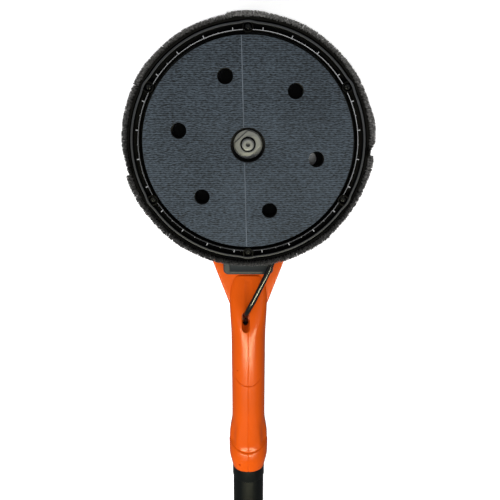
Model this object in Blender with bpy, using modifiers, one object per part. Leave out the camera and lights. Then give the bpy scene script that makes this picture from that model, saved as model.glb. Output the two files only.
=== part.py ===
"""Electric pole drywall sander, lying on its back with the sanding face up.

Metres, +Z up. The floor is z = 0, the pole runs along -Y from the sanding head, and the
origin is the middle of the whole object's footprint. The head tilts about X on the fork's
two pivot bolts and rolls about Y on the gimbal ring's two pins, and both axes cross at PIVOT.
Lengths called "back" run from the pivot towards the rear handle, so y = -back.
"""

import math

import bmesh
import bpy
from mathutils import Vector

# Driving dimensions of the whole tool
PAD_R = 0.1075
SKIRT_R = 0.1275
REACH = 1.195  # pivot to the rear end of the cord gland
PIVOT_HEIGHT = 0.080
PAD_OVER_PIVOT = 0.075
PIVOT = Vector((0.0, (REACH - SKIRT_R) / 2, PIVOT_HEIGHT))
PAD = PIVOT + Vector((0.0, 0.0, PAD_OVER_PIVOT))
GAP = 0.0003

# Sanding pad, depths below its face
HOOK_DEPTH = 0.0015
FOAM_DEPTH = 0.0120
PLATE_DEPTH = 0.0163
PLATE_R = 0.100
DUST_HOLES = 6
DUST_HOLE_R = 0.008
DUST_CIRCLE_R = 0.0718
DUST_FIRST = math.radians(108.3)
RECESS_R = 0.0178

# Brush skirt and housing
SKIRT_SCREWS = 6
SCREW_CIRCLE_R = 0.1150
SCREW_HEAD_R = 0.0040
SCREW_FIRST = math.radians(30)
SHANK_R = 0.0019
HOUSING_TOP = -0.0200
HOUSING_BACK = -0.0300
HOUSING_R = 0.1182
SPRING_R = 0.0028
SPRING_WIRE_R = 0.00045
SPRING_TURNS = 3
OUTLET_Y = 0.088

# Planetary gear: sun on the motor shaft, fixed ring, carrier on the output spindle
MODULE = 0.00125
SUN_TEETH = 10
PLANET_TEETH = 20
RING_TEETH = SUN_TEETH + 2 * PLANET_TEETH
PLANETS = 3
PLANET_CIRCLE_R = MODULE * (SUN_TEETH + PLANET_TEETH) / 2
GEAR_TOP = -0.0502
GEAR_LOW = -0.0606

# Motor
MOTOR_R = 0.040
MOTOR_WALL = 0.0034
MOTOR_TOP = -0.0643
MOTOR_LOW = -0.1397
SHAFT_R = 0.005
MOTOR_BEARING_R = 0.011
VENTS = 5  # each cuts through both sides

# Gimbal and fork
RING_IN_R = 0.0435
RING_OUT_R = 0.0520
RING_HALF = 0.008
ARM_IN = 0.060
ARM_OUT = 0.072
ARM_SHOULDER = 0.062
ARM_TIP = 0.014
ARM_TOP = 0.009
ARM_LOW = -0.014
NECK_START_W = 0.0243
NECK_START = 0.205
NECK_WALL = 0.0030
GROOVE_R = 0.0208
CROTCH = 0.130
BRACKET_HALF = 0.0294
PIVOT_BOLT_R = 0.004
ROLL_PIN_R = 0.0035

# Pole
TUBE_R = 0.020
TUBE_WALL = 0.0018
TUBE_START = 0.364
TUBE_END = 0.800
NECK_END = 0.4265
REAR_TUBE_R = 0.0178
REAR_TUBE_WALL = 0.002
REAR_TUBE_START = 0.400
REAR_TUBE_END = 0.990

# Motor cable
CABLE_R = 0.00325
GLAND_BEARING = math.radians(-25)
GLAND_Z = -0.0370  # over the pivot
CLIP_X = 0.0544
CLIP_BACK = 0.018
CABLE_END = 0.994

# Rear handle
HANDLE_START = 0.940
HANDLE_END = 1.170
HANDLE_HALF = 0.0225
GRIP_FRONT = 1.132
GLAND_DROP = -0.0640
BUTTON_BACK = 1.150
BUTTON_Z = 0.0035
TRIGGER_LOW = -0.0420
TRIGGER_HIGH = 0.0020
DIAL_BACK = 1.012
DIAL_R = 0.0145
DIAL_Z = 0.0125

ALONG_X = (0.0, math.pi / 2, 0.0)
ALONG_Y = (-math.pi / 2, 0.0, 0.0)
BACKWARDS = (math.pi / 2, 0.0, 0.0)  # local Z runs back along the pole, local Y stays up
SIDE_ON = (math.pi / 2, 0.0, -math.pi / 2)  # local X runs back, local Y is up, local Z is -X

for old in list(bpy.data.objects):
    bpy.data.objects.remove(old, do_unlink=True)

parts = bpy.data.collections.new("pole_drywall_sander")
cutters = bpy.data.collections.new("cutters")
for collection in (parts, cutters):
    bpy.context.scene.collection.children.link(collection)


def finish(name, colour, roughness, metallic=0.0):
    """A Principled material."""
    made = bpy.data.materials.new(name)
    made.use_nodes = True
    shader = made.node_tree.nodes["Principled BSDF"]
    shader.inputs["Base Color"].default_value = (*colour, 1.0)
    shader.inputs["Roughness"].default_value = roughness
    shader.inputs["Metallic"].default_value = metallic
    return made


ORANGE = finish("orange_plastic", (0.80, 0.15, 0.02), 0.40)
DARK = finish("dark_plastic", (0.035, 0.038, 0.042), 0.50)
BLACK = finish("black_plastic", (0.012, 0.012, 0.013), 0.45)
GREY = finish("grey_cast", (0.075, 0.082, 0.088), 0.50)
SLATE = finish("slate_hook", (0.13, 0.16, 0.19), 0.90)
FOAM = finish("black_foam", (0.02, 0.02, 0.02), 0.90)
BRISTLE = finish("bristle", (0.03, 0.03, 0.035), 0.80)
STEEL = finish("steel", (0.60, 0.60, 0.60), 0.30, 1.0)
IRON = finish("laminated_iron", (0.30, 0.30, 0.31), 0.45, 1.0)
COPPER = finish("copper", (0.75, 0.38, 0.20), 0.35, 1.0)
CARBON = finish("carbon", (0.03, 0.03, 0.03), 0.60)
RUBBER = finish("black_rubber", (0.015, 0.015, 0.015), 0.60)
TUBE_BLACK = finish("black_tube", (0.010, 0.011, 0.012), 0.35)


def place(name, mesh, look, origin, turn=(0.0, 0.0, 0.0)):
    """Links a mesh as an object in the parts collection."""
    placed = bpy.data.objects.new(name, mesh)
    placed.location = origin
    placed.rotation_euler = turn
    parts.objects.link(placed)
    if look and not mesh.materials:
        mesh.materials.append(look)
    return placed


def as_cutter(tool):
    """Hides a helper from renders and moves it to the cutters."""
    for holder in list(tool.users_collection):
        holder.objects.unlink(tool)
    cutters.objects.link(tool)
    tool.hide_render = True
    tool.display_type = "WIRE"
    return tool


def combine(target, tool, operation="DIFFERENCE"):
    """Boolean of the target with the tool, which becomes a cutter."""
    change = target.modifiers.new(operation.lower(), "BOOLEAN")
    change.operation = operation
    change.object = as_cutter(tool)


def baked_mesh(source):
    """The evaluated mesh of an object, welded and facing out. The object is removed."""
    bpy.context.view_layer.update()
    graph = bpy.context.evaluated_depsgraph_get()
    mesh = bpy.data.meshes.new_from_object(source.evaluated_get(graph))
    work = bmesh.new()
    work.from_mesh(mesh)
    bmesh.ops.remove_doubles(work, verts=work.verts, dist=1e-6)
    bmesh.ops.recalc_face_normals(work, faces=work.faces)
    work.to_mesh(mesh)
    work.free()
    bpy.data.objects.remove(source)
    return mesh


def rounded(mesh, angle=35):
    mesh.shade_smooth()
    mesh.set_sharp_from_angle(angle=math.radians(angle))


def circle(radius, count, middle=(0.0, 0.0)):
    steps = (2 * math.pi * k / count for k in range(count))
    return [(middle[0] + radius * math.cos(a), middle[1] + radius * math.sin(a)) for a in steps]


def round_corners(corners, count=3):
    """Closed outline through corners given as (x, y, radius)."""
    outline = []
    for k, (x, y, radius) in enumerate(corners):
        here = Vector((x, y))
        to_last = (Vector(corners[k - 1][:2]) - here).normalized()
        to_next = (Vector(corners[(k + 1) % len(corners)][:2]) - here).normalized()
        if radius == 0:
            outline.append((x, y))
            continue
        half = to_last.angle(to_next) / 2
        reach = radius / math.tan(half)
        centre = here + (to_last + to_next).normalized() * radius / math.sin(half)
        first = here + to_last * reach - centre
        last = here + to_next * reach - centre
        for step in range(count + 1):
            ray = first.slerp(last, step / count).normalized()
            outline.append(tuple(centre + ray * radius))
    return outline


def flat_solid(name, loops, low, high, look, origin=PAD, turn=(0.0, 0.0, 0.0)):
    """Outlines and their holes, filled and extruded between two heights."""
    curve = bpy.data.curves.new(name, "CURVE")
    curve.dimensions = "2D"
    curve.fill_mode = "BOTH"
    curve.extrude = (high - low) / 2
    for loop in loops:
        spline = curve.splines.new("POLY")
        spline.points.add(len(loop) - 1)
        for point, (x, y) in zip(spline.points, loop):
            point.co = (x, y, 0.0, 1.0)
        spline.use_cyclic_u = True
    mesh = baked_mesh(place(name + "_outline", curve, None, (0.0, 0.0, 0.0)))
    for vertex in mesh.vertices:
        vertex.co.z += (low + high) / 2
    rounded(mesh)
    return place(name, mesh, look, origin, turn)


def turned(name, profile, look, origin=PAD, turn=(0.0, 0.0, 0.0), steps=32, ring=True):
    """A profile of (radius, height) swept round local Z; a ring's profile is closed."""
    mesh = bpy.data.meshes.new(name)
    count = len(profile)
    edges = [(k, (k + 1) % count) for k in range(count if ring else count - 1)]
    mesh.from_pydata([(r, 0.0, z) for r, z in profile], edges, [])
    made = place(name, mesh, look, origin, turn)
    sweep = made.modifiers.new("sweep", "SCREW")
    sweep.steps = steps
    sweep.render_steps = steps
    sweep.use_merge_vertices = True
    sweep.merge_threshold = 0.00002
    return made


def collar(name, inner, outer, high, low, look, **where):
    """A plain turned ring."""
    profile = [(outer, high), (outer, low), (inner, low), (inner, high)]
    return turned(name, profile, look, **where)


def rod_mesh(work, radius, low, high, count, middle=(0.0, 0.0)):
    """Adds a capped cylinder along Z to a bmesh."""
    made = bmesh.ops.create_cone(
        work, cap_ends=True, segments=count, radius1=radius, radius2=radius, depth=high - low
    )
    shift = Vector((middle[0], middle[1], (low + high) / 2))
    bmesh.ops.translate(work, verts=made["verts"], vec=shift)


def box_mesh(work, low, high):
    """Adds a box between two corners to a bmesh."""
    low, high = Vector(low), Vector(high)
    made = bmesh.ops.create_cube(work, size=1.0)
    bmesh.ops.scale(work, verts=made["verts"], vec=high - low)
    bmesh.ops.translate(work, verts=made["verts"], vec=(low + high) / 2)
    return made["verts"]


def solid(name, shapes, look, origin=PAD, turn=(0.0, 0.0, 0.0)):
    """Rods and boxes that stand apart, as one object. Each shape is (function, arguments)."""
    work = bmesh.new()
    for shape, arguments in shapes:
        shape(work, *arguments)
    mesh = bpy.data.meshes.new(name)
    work.to_mesh(mesh)
    work.free()
    rounded(mesh)
    return place(name, mesh, look, origin, turn)


def rods(name, radius, low, high, count, middles=((0.0, 0.0),), **where):
    """Equal parallel rods, for pins and for drilling."""
    shapes = [(rod_mesh, (radius, low, high, count, middle)) for middle in middles]
    return solid(name, shapes, where.pop("look", None), **where)


def around(radius, count, first):
    """Evenly spaced points on a circle."""
    steps = (first + 2 * math.pi * k / count for k in range(count))
    return [(radius * math.cos(a), radius * math.sin(a)) for a in steps]


def wire(name, points, radius, look, origin=PAD, resolution=2):
    """A round bar through points."""
    curve = bpy.data.curves.new(name, "CURVE")
    curve.dimensions = "3D"
    curve.bevel_depth = radius
    curve.bevel_resolution = resolution
    curve.use_fill_caps = True
    spline = curve.splines.new("POLY")
    spline.points.add(len(points) - 1)
    for point, place_at in zip(spline.points, points):
        point.co = (*place_at, 1.0)
    mesh = baked_mesh(place(name + "_path", curve, None, (0.0, 0.0, 0.0)))
    rounded(mesh, 60)
    return place(name, mesh, look, origin)


def smooth_path(points, per_span):
    """Points of a Catmull-Rom curve through the given ones."""
    given = [Vector(p) for p in points]
    given = [2 * given[0] - given[1]] + given + [2 * given[-1] - given[-2]]
    path = []
    for a, b, c, d in zip(given, given[1:], given[2:], given[3:]):
        for step in range(per_span):
            t = step / per_span
            cubic = (2 * b) + (c - a) * t + (2 * a - 5 * b + 4 * c - d) * t**2
            path.append((cubic + (3 * b - a - 3 * c + d) * t**3) / 2)
    path.append(given[-2])
    return path


def gear_loop(teeth, root, tip, foot=0.62, land=0.24, phase=0.0):
    """Outline of a toothed wheel. Foot and land are a tooth's widths as shares of the pitch."""
    pitch = 2 * math.pi / teeth
    outline = []
    for k in range(teeth):
        middle = phase + k * pitch
        for radius, share in ((root, -foot), (tip, -land), (tip, land), (root, foot)):
            a = middle + share * pitch / 2
            outline.append((radius * math.cos(a), radius * math.sin(a)))
    return outline


def wheel_radii(teeth):
    """Root and tip radius of an external gear."""
    pitch_r = MODULE * teeth / 2
    return pitch_r - 1.2 * MODULE, pitch_r + 0.92 * MODULE


# ---- Sanding pad: hook face, foam, backing plate, and what clamps them to the spindle ----

def pad_layer(name, radius, hole_r, middle_r, high, low, look):
    loops = [circle(radius, 44), circle(middle_r, 16)]
    loops += [circle(hole_r, 10, at) for at in around(DUST_CIRCLE_R, DUST_HOLES, DUST_FIRST)]
    flat_solid(name, loops, low, high, look)


pad_layer("hook_face", PAD_R, DUST_HOLE_R, RECESS_R, 0.0, -HOOK_DEPTH, SLATE)
pad_layer("foam_pad", PAD_R - 0.0005, DUST_HOLE_R, RECESS_R, -HOOK_DEPTH - GAP, -FOAM_DEPTH, FOAM)
pad_layer("backing_plate", PLATE_R, DUST_HOLE_R, 0.0083, -FOAM_DEPTH - GAP, -PLATE_DEPTH, BLACK)


def flatted_circle(radius, across, direction, count):
    """A circle cut by two parallel flats that run along the direction."""
    outline = []
    for k in range(count):
        a = 2 * math.pi * k / count
        along, aside = radius * math.cos(a), radius * math.sin(a)
        aside = max(-across / 2, min(across / 2, aside))
        outline.append((
            along * math.cos(direction) - aside * math.sin(direction),
            along * math.sin(direction) + aside * math.cos(direction),
        ))
    return outline


flat_solid(
    "clamp_washer",
    [flatted_circle(0.015, 0.021, math.radians(43), 28), circle(0.0045, 14)],
    -0.0120, -0.0080, STEEL,
)

bolt_profile = [
    (0.0, -0.0030), (0.0063, -0.0030), (0.0063, -0.0077),
    (0.0040, -0.0077), (0.0040, -0.0240), (0.0, -0.0240),
]
centre_bolt = turned("centre_bolt", bolt_profile, STEEL, steps=18, ring=False)
combine(centre_bolt, rods("hex_socket", 0.0033, -0.0060, -0.0020, 6))

spindle_profile = [
    (0.0, -0.0265), (0.0043, -0.0265), (0.0043, -0.0125), (0.0080, -0.0125),
    (0.0080, -0.0166), (0.0140, -0.0166), (0.0140, -0.0200), (0.0080, -0.0200),
    (0.0080, -0.0435), (0.0265, -0.0435), (0.0265, -0.0490), (0.0, -0.0490),
]
spindle = turned("output_spindle", spindle_profile, STEEL, steps=28, ring=False)
planet_places = around(PLANET_CIRCLE_R, PLANETS, 0.0)
combine(spindle, rods("planet_pins", 0.0030, -0.0460, -0.0622, 12, planet_places), "UNION")
collar("spindle_bearing", 0.0083, 0.0155, -0.0315, -0.0410, STEEL, steps=28)

# ---- Brush skirt: bristles in a floating ring, on screws and springs ----

carrier_profile = [
    (0.1200, -0.0014), (0.1200, -0.0100), (0.1265, -0.0100), (0.1265, -0.0180),
    (0.1186, -0.0180), (0.1186, -0.0110), (0.1112, -0.0110), (0.1112, -0.0020),
    (0.1124, -0.0020), (0.1124, -0.0080), (0.1176, -0.0080), (0.1176, -0.0014),
]
screw_places = around(SCREW_CIRCLE_R, SKIRT_SCREWS, SCREW_FIRST)
carrier = turned("brush_carrier", carrier_profile, DARK, steps=38)
screw_bosses = rods("screw_bosses", SCREW_HEAD_R + 0.0016, -0.0107, -0.0017, 16, screw_places)
combine(carrier, screw_bosses, "UNION")
combine(carrier, rods("head_recesses", SCREW_HEAD_R + GAP, -0.0080, 0.0, 14, screw_places))
combine(carrier, rods("carrier_holes", SHANK_R + 0.0006, -0.0130, -0.0070, 10, screw_places))

bristle_profile = [
    (SKIRT_R, 0.0040), (0.1262, -0.0097), (0.1211, -0.0097), (0.1213, 0.0036),
]
turned("brush_bristles", bristle_profile, BRISTLE, steps=40)

screw_profile = [
    (0.0, -0.0042), (0.0034, -0.0042), (SCREW_HEAD_R, -0.0048), (SCREW_HEAD_R, -0.0076),
    (SHANK_R, -0.0076), (SHANK_R, -0.0290), (0.0, -0.0290),
]
master_screw = turned("master_screw", screw_profile, STEEL, steps=10, ring=False, origin=(0, 0, 0))
cross = [
    (box_mesh, ((-0.0025, -0.0006, -0.0060), (0.0025, 0.0006, -0.0030))),
    (box_mesh, ((-0.0006, -0.0025, -0.0062), (0.0006, 0.0025, -0.0028))),
]
for number, arm in enumerate(cross):
    combine(master_screw, solid(f"cross_recess_{number}", [arm], None, origin=(0, 0, 0)))
screw_mesh = baked_mesh(master_screw)
rounded(screw_mesh)
for number, (x, y) in enumerate(screw_places, 1):
    place(f"skirt_screw_{number}", screw_mesh, STEEL, PAD + Vector((x, y, 0.0)))

spring_low = HOUSING_TOP + SPRING_WIRE_R + GAP
spring_rise = -0.0110 - 2 * (SPRING_WIRE_R + GAP) - HOUSING_TOP
spring_points = []
for step in range(SPRING_TURNS * 8 + 1):
    turn_angle = step * math.pi / 4
    height = spring_low + spring_rise * step / (SPRING_TURNS * 8)
    spring_points.append((SPRING_R * math.cos(turn_angle), SPRING_R * math.sin(turn_angle), height))
for number, (x, y) in enumerate(screw_places[::2], 1):
    wire(f"float_spring_{number}", spring_points, SPRING_WIRE_R, STEEL,
         origin=PAD + Vector((x, y, 0.0)), resolution=1)

# ---- Brush housing with its dust outlet ----

housing_profile = [
    (HOUSING_R, HOUSING_TOP), (HOUSING_R, HOUSING_BACK), (0.0220, HOUSING_BACK),
    (0.0220, -0.0270), (0.1105, -0.0270), (0.1105, HOUSING_TOP),
]
housing = turned("brush_housing", housing_profile, DARK, steps=38)
combine(housing, rods("screw_holes", SHANK_R + GAP, -0.0320, -0.0180, 10, screw_places))
combine(housing, rods("outlet_hole", 0.0135, -0.0320, -0.0240, 22, [(0.0, OUTLET_Y)]))
outlet_profile = [
    (0.0190, -0.0303), (0.0190, -0.0330), (0.0160, -0.0330),
    (0.0160, -0.0600), (0.0135, -0.0600), (0.0135, -0.0303),
]
turned("dust_outlet", outlet_profile, DARK, origin=PAD + Vector((0.0, OUTLET_Y, 0.0)), steps=28)

# ---- Gearbox ----

gear_housing_profile = [
    (0.0460, -0.0303), (0.0460, -0.0345), (0.0400, -0.0365), (0.0400, -0.0640),
    (0.0365, -0.0640), (0.0365, -0.0428), (0.0158, -0.0428), (0.0158, -0.0303),
]
turned("gear_housing", gear_housing_profile, GREY)

ring_pitch_r = MODULE * RING_TEETH / 2
ring_teeth = gear_loop(RING_TEETH, ring_pitch_r + 1.2 * MODULE, ring_pitch_r - 0.92 * MODULE)
flat_solid("ring_gear", [circle(0.0362, 32), ring_teeth], GEAR_LOW, GEAR_TOP, STEEL)

planet_root, planet_tip = wheel_radii(PLANET_TEETH)
for number, (x, y) in enumerate(planet_places):
    # Where the ring has a tooth the planet shows it a gap, and the sun's teeth then fit too.
    bearing = 2 * math.pi * number / PLANETS
    ring_phase = bearing * RING_TEETH / (2 * math.pi)
    planet_phase = bearing - 2 * math.pi / PLANET_TEETH * (ring_phase + 0.5)
    teeth = gear_loop(PLANET_TEETH, planet_root, planet_tip, phase=planet_phase)
    flat_solid(f"planet_gear_{number + 1}", [teeth, circle(0.0033, 12)], GEAR_LOW, GEAR_TOP, STEEL,
               origin=PAD + Vector((x, y, 0.0)))

# ---- Motor ----

sun_root, sun_tip = wheel_radii(SUN_TEETH)
motor_shaft = rods("motor_shaft", SHAFT_R, -0.1490, -0.0615, 16, look=STEEL)
sun = flat_solid("sun_teeth", [gear_loop(SUN_TEETH, sun_root, sun_tip)], -0.0630, GEAR_TOP, STEEL)
combine(motor_shaft, sun, "UNION")

motor_profile = [
    (MOTOR_R, MOTOR_TOP), (MOTOR_R, MOTOR_LOW), (MOTOR_R - MOTOR_WALL, MOTOR_LOW),
    (MOTOR_R - MOTOR_WALL, -0.0740), (MOTOR_BEARING_R + GAP, -0.0740),
    (MOTOR_BEARING_R + GAP, MOTOR_TOP),
]
motor_housing = turned("motor_housing", motor_profile, DARK)
for number in range(VENTS):
    vent = [(box_mesh, ((-0.05, -0.0018, -0.1360), (0.05, 0.0018, -0.1250)))]
    facing = math.radians(18) + math.pi * number / VENTS
    combine(motor_housing, solid(f"vent_{number}", vent, None, turn=(0.0, 0.0, facing)))

bearing_wall = MOTOR_BEARING_R + GAP
cap_profile = [
    (0.0, -0.1500), (bearing_wall, -0.1500), (bearing_wall, -0.1422), (0.0140, -0.1422),
    (0.0140, -0.1480), (MOTOR_R - MOTOR_WALL, -0.1480), (MOTOR_R - MOTOR_WALL, MOTOR_LOW - GAP),
    (MOTOR_R, MOTOR_LOW - GAP), (MOTOR_R, -0.1500), (0.0360, -0.1550), (0.0, -0.1550),
]
turned("motor_end_cap", cap_profile, BLACK, ring=False)

collar("front_bearing", SHAFT_R + GAP, MOTOR_BEARING_R, -0.0650, -0.0730, STEEL, steps=24)
collar("rear_bearing", SHAFT_R + GAP, MOTOR_BEARING_R, -0.1425, -0.1490, STEEL, steps=24)


def stator_bore(pole_r, slot_r, count):
    """The field's bore: two pole faces, with winding slots between them."""
    outline = []
    for k in range(count):
        a = 2 * math.pi * k / count
        radius = pole_r if abs(math.cos(a)) > 0.55 else slot_r
        outline.append((radius * math.cos(a), radius * math.sin(a)))
    return outline


bore = SHAFT_R + GAP
flat_solid("stator", [circle(0.0362, 32), stator_bore(0.0255, 0.0315, 36)], -0.1200, -0.0860, IRON)
flat_solid("armature_core", [gear_loop(12, 0.0190, 0.0248, 0.5, 0.75), circle(bore, 14)],
           -0.1210, -0.0850, COPPER)
flat_solid("commutator", [gear_loop(18, 0.0112, 0.0120, 0.7, 0.7), circle(bore, 14)],
           -0.1345, -0.1245, COPPER)
flat_solid("cooling_fan", [gear_loop(9, 0.0120, 0.0330, 0.4, 0.2), circle(bore, 14)],
           -0.0825, -0.0765, BLACK)
for side, sign in (("left", -1), ("right", 1)):
    near, far = sorted((sign * 0.0124, sign * 0.0320))
    solid(f"carbon_brush_{side}", [(box_mesh, ((near, -0.0040, -0.1325), (far, 0.0040, -0.1265)))], CARBON)

# ---- Cable from the motor through the neck and the pole to the rear handle ----

gland_out = Vector((math.cos(GLAND_BEARING), math.sin(GLAND_BEARING), 0.0))
collar("motor_gland", CABLE_R + 2 * GAP, 0.0056, 0.0063, 0.0, RUBBER, steps=16,
       origin=PIVOT + gland_out * (MOTOR_R + GAP) + Vector((0.0, 0.0, GLAND_Z)),
       turn=(0.0, math.pi / 2, GLAND_BEARING))

# Each point is (x, back, height over the pivot).
cable_route = [
    (gland_out.x * 0.0412, -gland_out.y * 0.0412, GLAND_Z),
    (gland_out.x * 0.0475, -gland_out.y * 0.0475, GLAND_Z),
    (0.0515, 0.0195, -0.0325), (CLIP_X, CLIP_BACK, -0.0200), (CLIP_X, CLIP_BACK, 0.0000),
    (0.0540, 0.0215, 0.0160), (0.0505, 0.0400, 0.0275), (0.0440, 0.0720, 0.0325),
    (0.0362, 0.1100, 0.0333), (0.0278, 0.1397, 0.0330), (0.0180, 0.1631, 0.0305),
    (0.0074, 0.1884, 0.0262), (-0.0002, 0.2050, 0.0232), (-0.0030, 0.2140, 0.0185),
    (-0.0034, 0.2220, 0.0130), (-0.0030, 0.2380, 0.0050), (0.0000, 0.2650, 0.0005),
    (0.0000, 0.3100, 0.0000),
]
cable_points = smooth_path([(x, -back, z) for x, back, z in cable_route], 2)
straight = [(0.0, -(0.31 + (CABLE_END - 0.31) * k / 6), 0.0) for k in range(1, 7)]
wire("motor_cable", cable_points + straight, CABLE_R, RUBBER, origin=PIVOT, resolution=1)

# ---- Gimbal ring with its roll pins and the cable's clip ----

gimbal = collar("gimbal_ring", RING_IN_R, RING_OUT_R, RING_HALF, -RING_HALF, GREY, origin=PIVOT)
BOSS_OUT = ARM_IN - 2 * GAP
for side, sign in (("left", -1), ("right", 1)):
    low, high = sorted((sign * 0.0470, sign * BOSS_OUT))
    boss = rods(f"ring_boss_{side}", 0.0100, low, high, 20, origin=PIVOT, turn=ALONG_X)
    combine(gimbal, boss, "UNION")
combine(gimbal, rods("tilt_bore", PIVOT_BOLT_R + 0.0002, -0.07, 0.07, 16, origin=PIVOT, turn=ALONG_X))
combine(gimbal, rods("roll_bore", ROLL_PIN_R + 0.0002, -0.07, 0.07, 16, origin=PIVOT, turn=ALONG_Y))
roll_sockets = rods("roll_sockets", ROLL_PIN_R + 0.0002, -0.07, 0.07, 16, origin=PIVOT, turn=ALONG_Y)
combine(motor_housing, roll_sockets)
for side, sign in (("front", 1), ("rear", -1)):
    low, high = sorted((sign * 0.0370, sign * 0.0530))
    rods(f"roll_pin_{side}", ROLL_PIN_R, low, high, 16, origin=PIVOT, turn=ALONG_Y, look=STEEL)
collar("cable_clip", CABLE_R + GAP, 0.0052, 0.0040, -0.0040, RUBBER, steps=16,
       origin=PIVOT + Vector((CLIP_X, -CLIP_BACK, 0.0)))

# ---- Fork and neck: two clamshell halves ----

# Neck sections: distance back, half width, half height.
NECK = [
    (0.1630, 0.0150, 0.0098), (0.1660, 0.0190, 0.0108), (0.1720, 0.0212, 0.0122),
    (0.1840, 0.0237, 0.0142), (0.1950, 0.0245, 0.0165), (0.2100, 0.0240, 0.0192),
    (0.2250, 0.0228, 0.0212), (0.2450, 0.0218, 0.0218), (0.3010, 0.0218, 0.0218),
    (0.3030, GROOVE_R, GROOVE_R), (0.3050, GROOVE_R, GROOVE_R), (0.3070, 0.0218, 0.0218),
    (0.3520, 0.0217, 0.0217), (0.3620, 0.0225, 0.0225), (0.3710, 0.0242, 0.0242),
    (0.3810, 0.0258, 0.0258), (0.4060, 0.0258, 0.0258), (0.4160, 0.0245, 0.0245),
    (0.4220, 0.0230, 0.0230), (NECK_END, 0.0214, 0.0214),
]


def loft(name, sections, count, look=None):
    """Ellipses joined into a closed body; each section is (back, half width, half height)."""
    work = bmesh.new()
    rings = []
    for back, half_w, half_h in sections:
        ring = [work.verts.new((x * half_w, -back, z * half_h)) for x, z in circle(1.0, count)]
        if rings:
            for k in range(count):
                work.faces.new((rings[-1][k - 1], ring[k - 1], ring[k], rings[-1][k]))
        rings.append(ring)
    work.faces.new(rings[0])
    work.faces.new(rings[-1])
    bmesh.ops.recalc_face_normals(work, faces=work.faces)
    mesh = bpy.data.meshes.new(name)
    work.to_mesh(mesh)
    work.free()
    rounded(mesh)
    return place(name, mesh, look, PIVOT)


def fork_outline():
    """The fork seen from above: two arms that close into the neck."""
    slope = (ARM_OUT - NECK_START_W) / (NECK_START - ARM_SHOULDER)
    thick = ARM_OUT - ARM_IN
    inner_crotch = ARM_IN - slope * (CROTCH - ARM_SHOULDER)
    half = [
        (ARM_IN, ARM_TIP, 0.002), (ARM_OUT, ARM_TIP, thick / 2), (ARM_OUT, -ARM_SHOULDER, 0.030),
        (NECK_START_W - 0.0010, -NECK_START, 0), (0.018, -NECK_START - 0.010, 0),
    ]
    inner = [(inner_crotch, -CROTCH, 0.010), (ARM_IN, -ARM_SHOULDER, 0.030)]
    right = half
    left = [(-x, y, r) for x, y, r in reversed(half)]
    return round_corners(right + left + [(-x, y, r) for x, y, r in reversed(inner)] + inner)


def neck_half(side, sign):
    """One clamshell: fork plate and neck as one shell, kept on its own side of the seam."""
    shell = loft(f"neck_shell_{side}", NECK, 24, ORANGE)
    plate = flat_solid(f"fork_plate_{side}", [fork_outline()], ARM_LOW, ARM_TOP, None, origin=PIVOT)
    combine(shell, plate, "UNION")
    hollow = [(0.1860, 0.0170, 0.0108), (0.1950, 0.0205, 0.0130)]
    barrel = [row for row in NECK if 0.204 < row[0] < 0.36 and row[2] != GROOVE_R]
    hollow += [(back, w - NECK_WALL, h - NECK_WALL) for back, w, h in barrel]
    hollow += [(TUBE_START + 0.004, 0.0185, 0.0185)]
    combine(shell, loft(f"neck_hollow_{side}", hollow, 20))
    combine(shell, rods(f"tube_bore_{side}", TUBE_R + GAP, TUBE_START - GAP, NECK_END + 0.01, 32,
                        origin=PIVOT, turn=BACKWARDS))
    combine(shell, rods(f"pivot_bores_{side}", PIVOT_BOLT_R + 0.0002, -0.09, 0.09, 16,
                        origin=PIVOT, turn=ALONG_X))
    slot = round_corners([
        (0.0020, -0.2035, 0.0049), (-0.0080, -0.2035, 0.0049),
        (-0.0080, -0.2320, 0.0049), (0.0020, -0.2320, 0.0049),
    ])
    combine(shell, flat_solid(f"cable_slot_{side}", [slot], 0.010, 0.030, None, origin=PIVOT))
    near, far = sorted((-sign * 0.10, sign * GAP / 2))
    other_side = [(box_mesh, ((near, -0.5, -0.05), (far, 0.05, 0.05)))]
    combine(shell, solid(f"seam_{side}", other_side, None, origin=PIVOT))


for side, sign in (("left", -1), ("right", 1)):
    neck_half(side, sign)
    shank = [(0.0, sign * 0.0450), (PIVOT_BOLT_R, sign * 0.0450), (PIVOT_BOLT_R, sign * 0.0723)]
    head = [(0.0085, sign * 0.0723), (0.0085, sign * 0.0750)]
    head += [(0.0070, sign * 0.0765), (0.0, sign * 0.0765)]
    bolt = shank + head
    turned(f"pivot_bolt_{side}", bolt[::-1] if sign > 0 else bolt, STEEL,
           origin=PIVOT, turn=ALONG_X, steps=18, ring=False)

bracket_outline = round_corners([
    (BRACKET_HALF, -0.1300, 0.002), (-BRACKET_HALF, -0.1300, 0.002),
    (-BRACKET_HALF, -0.1565, 0.005), (BRACKET_HALF, -0.1565, 0.005),
])
flat_solid("cross_bracket", [bracket_outline], ARM_TOP + GAP, 0.0250, GREY, origin=PIVOT)

# ---- Pole: front tube, foam grip, twist lock and telescoping rear tube ----

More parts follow.
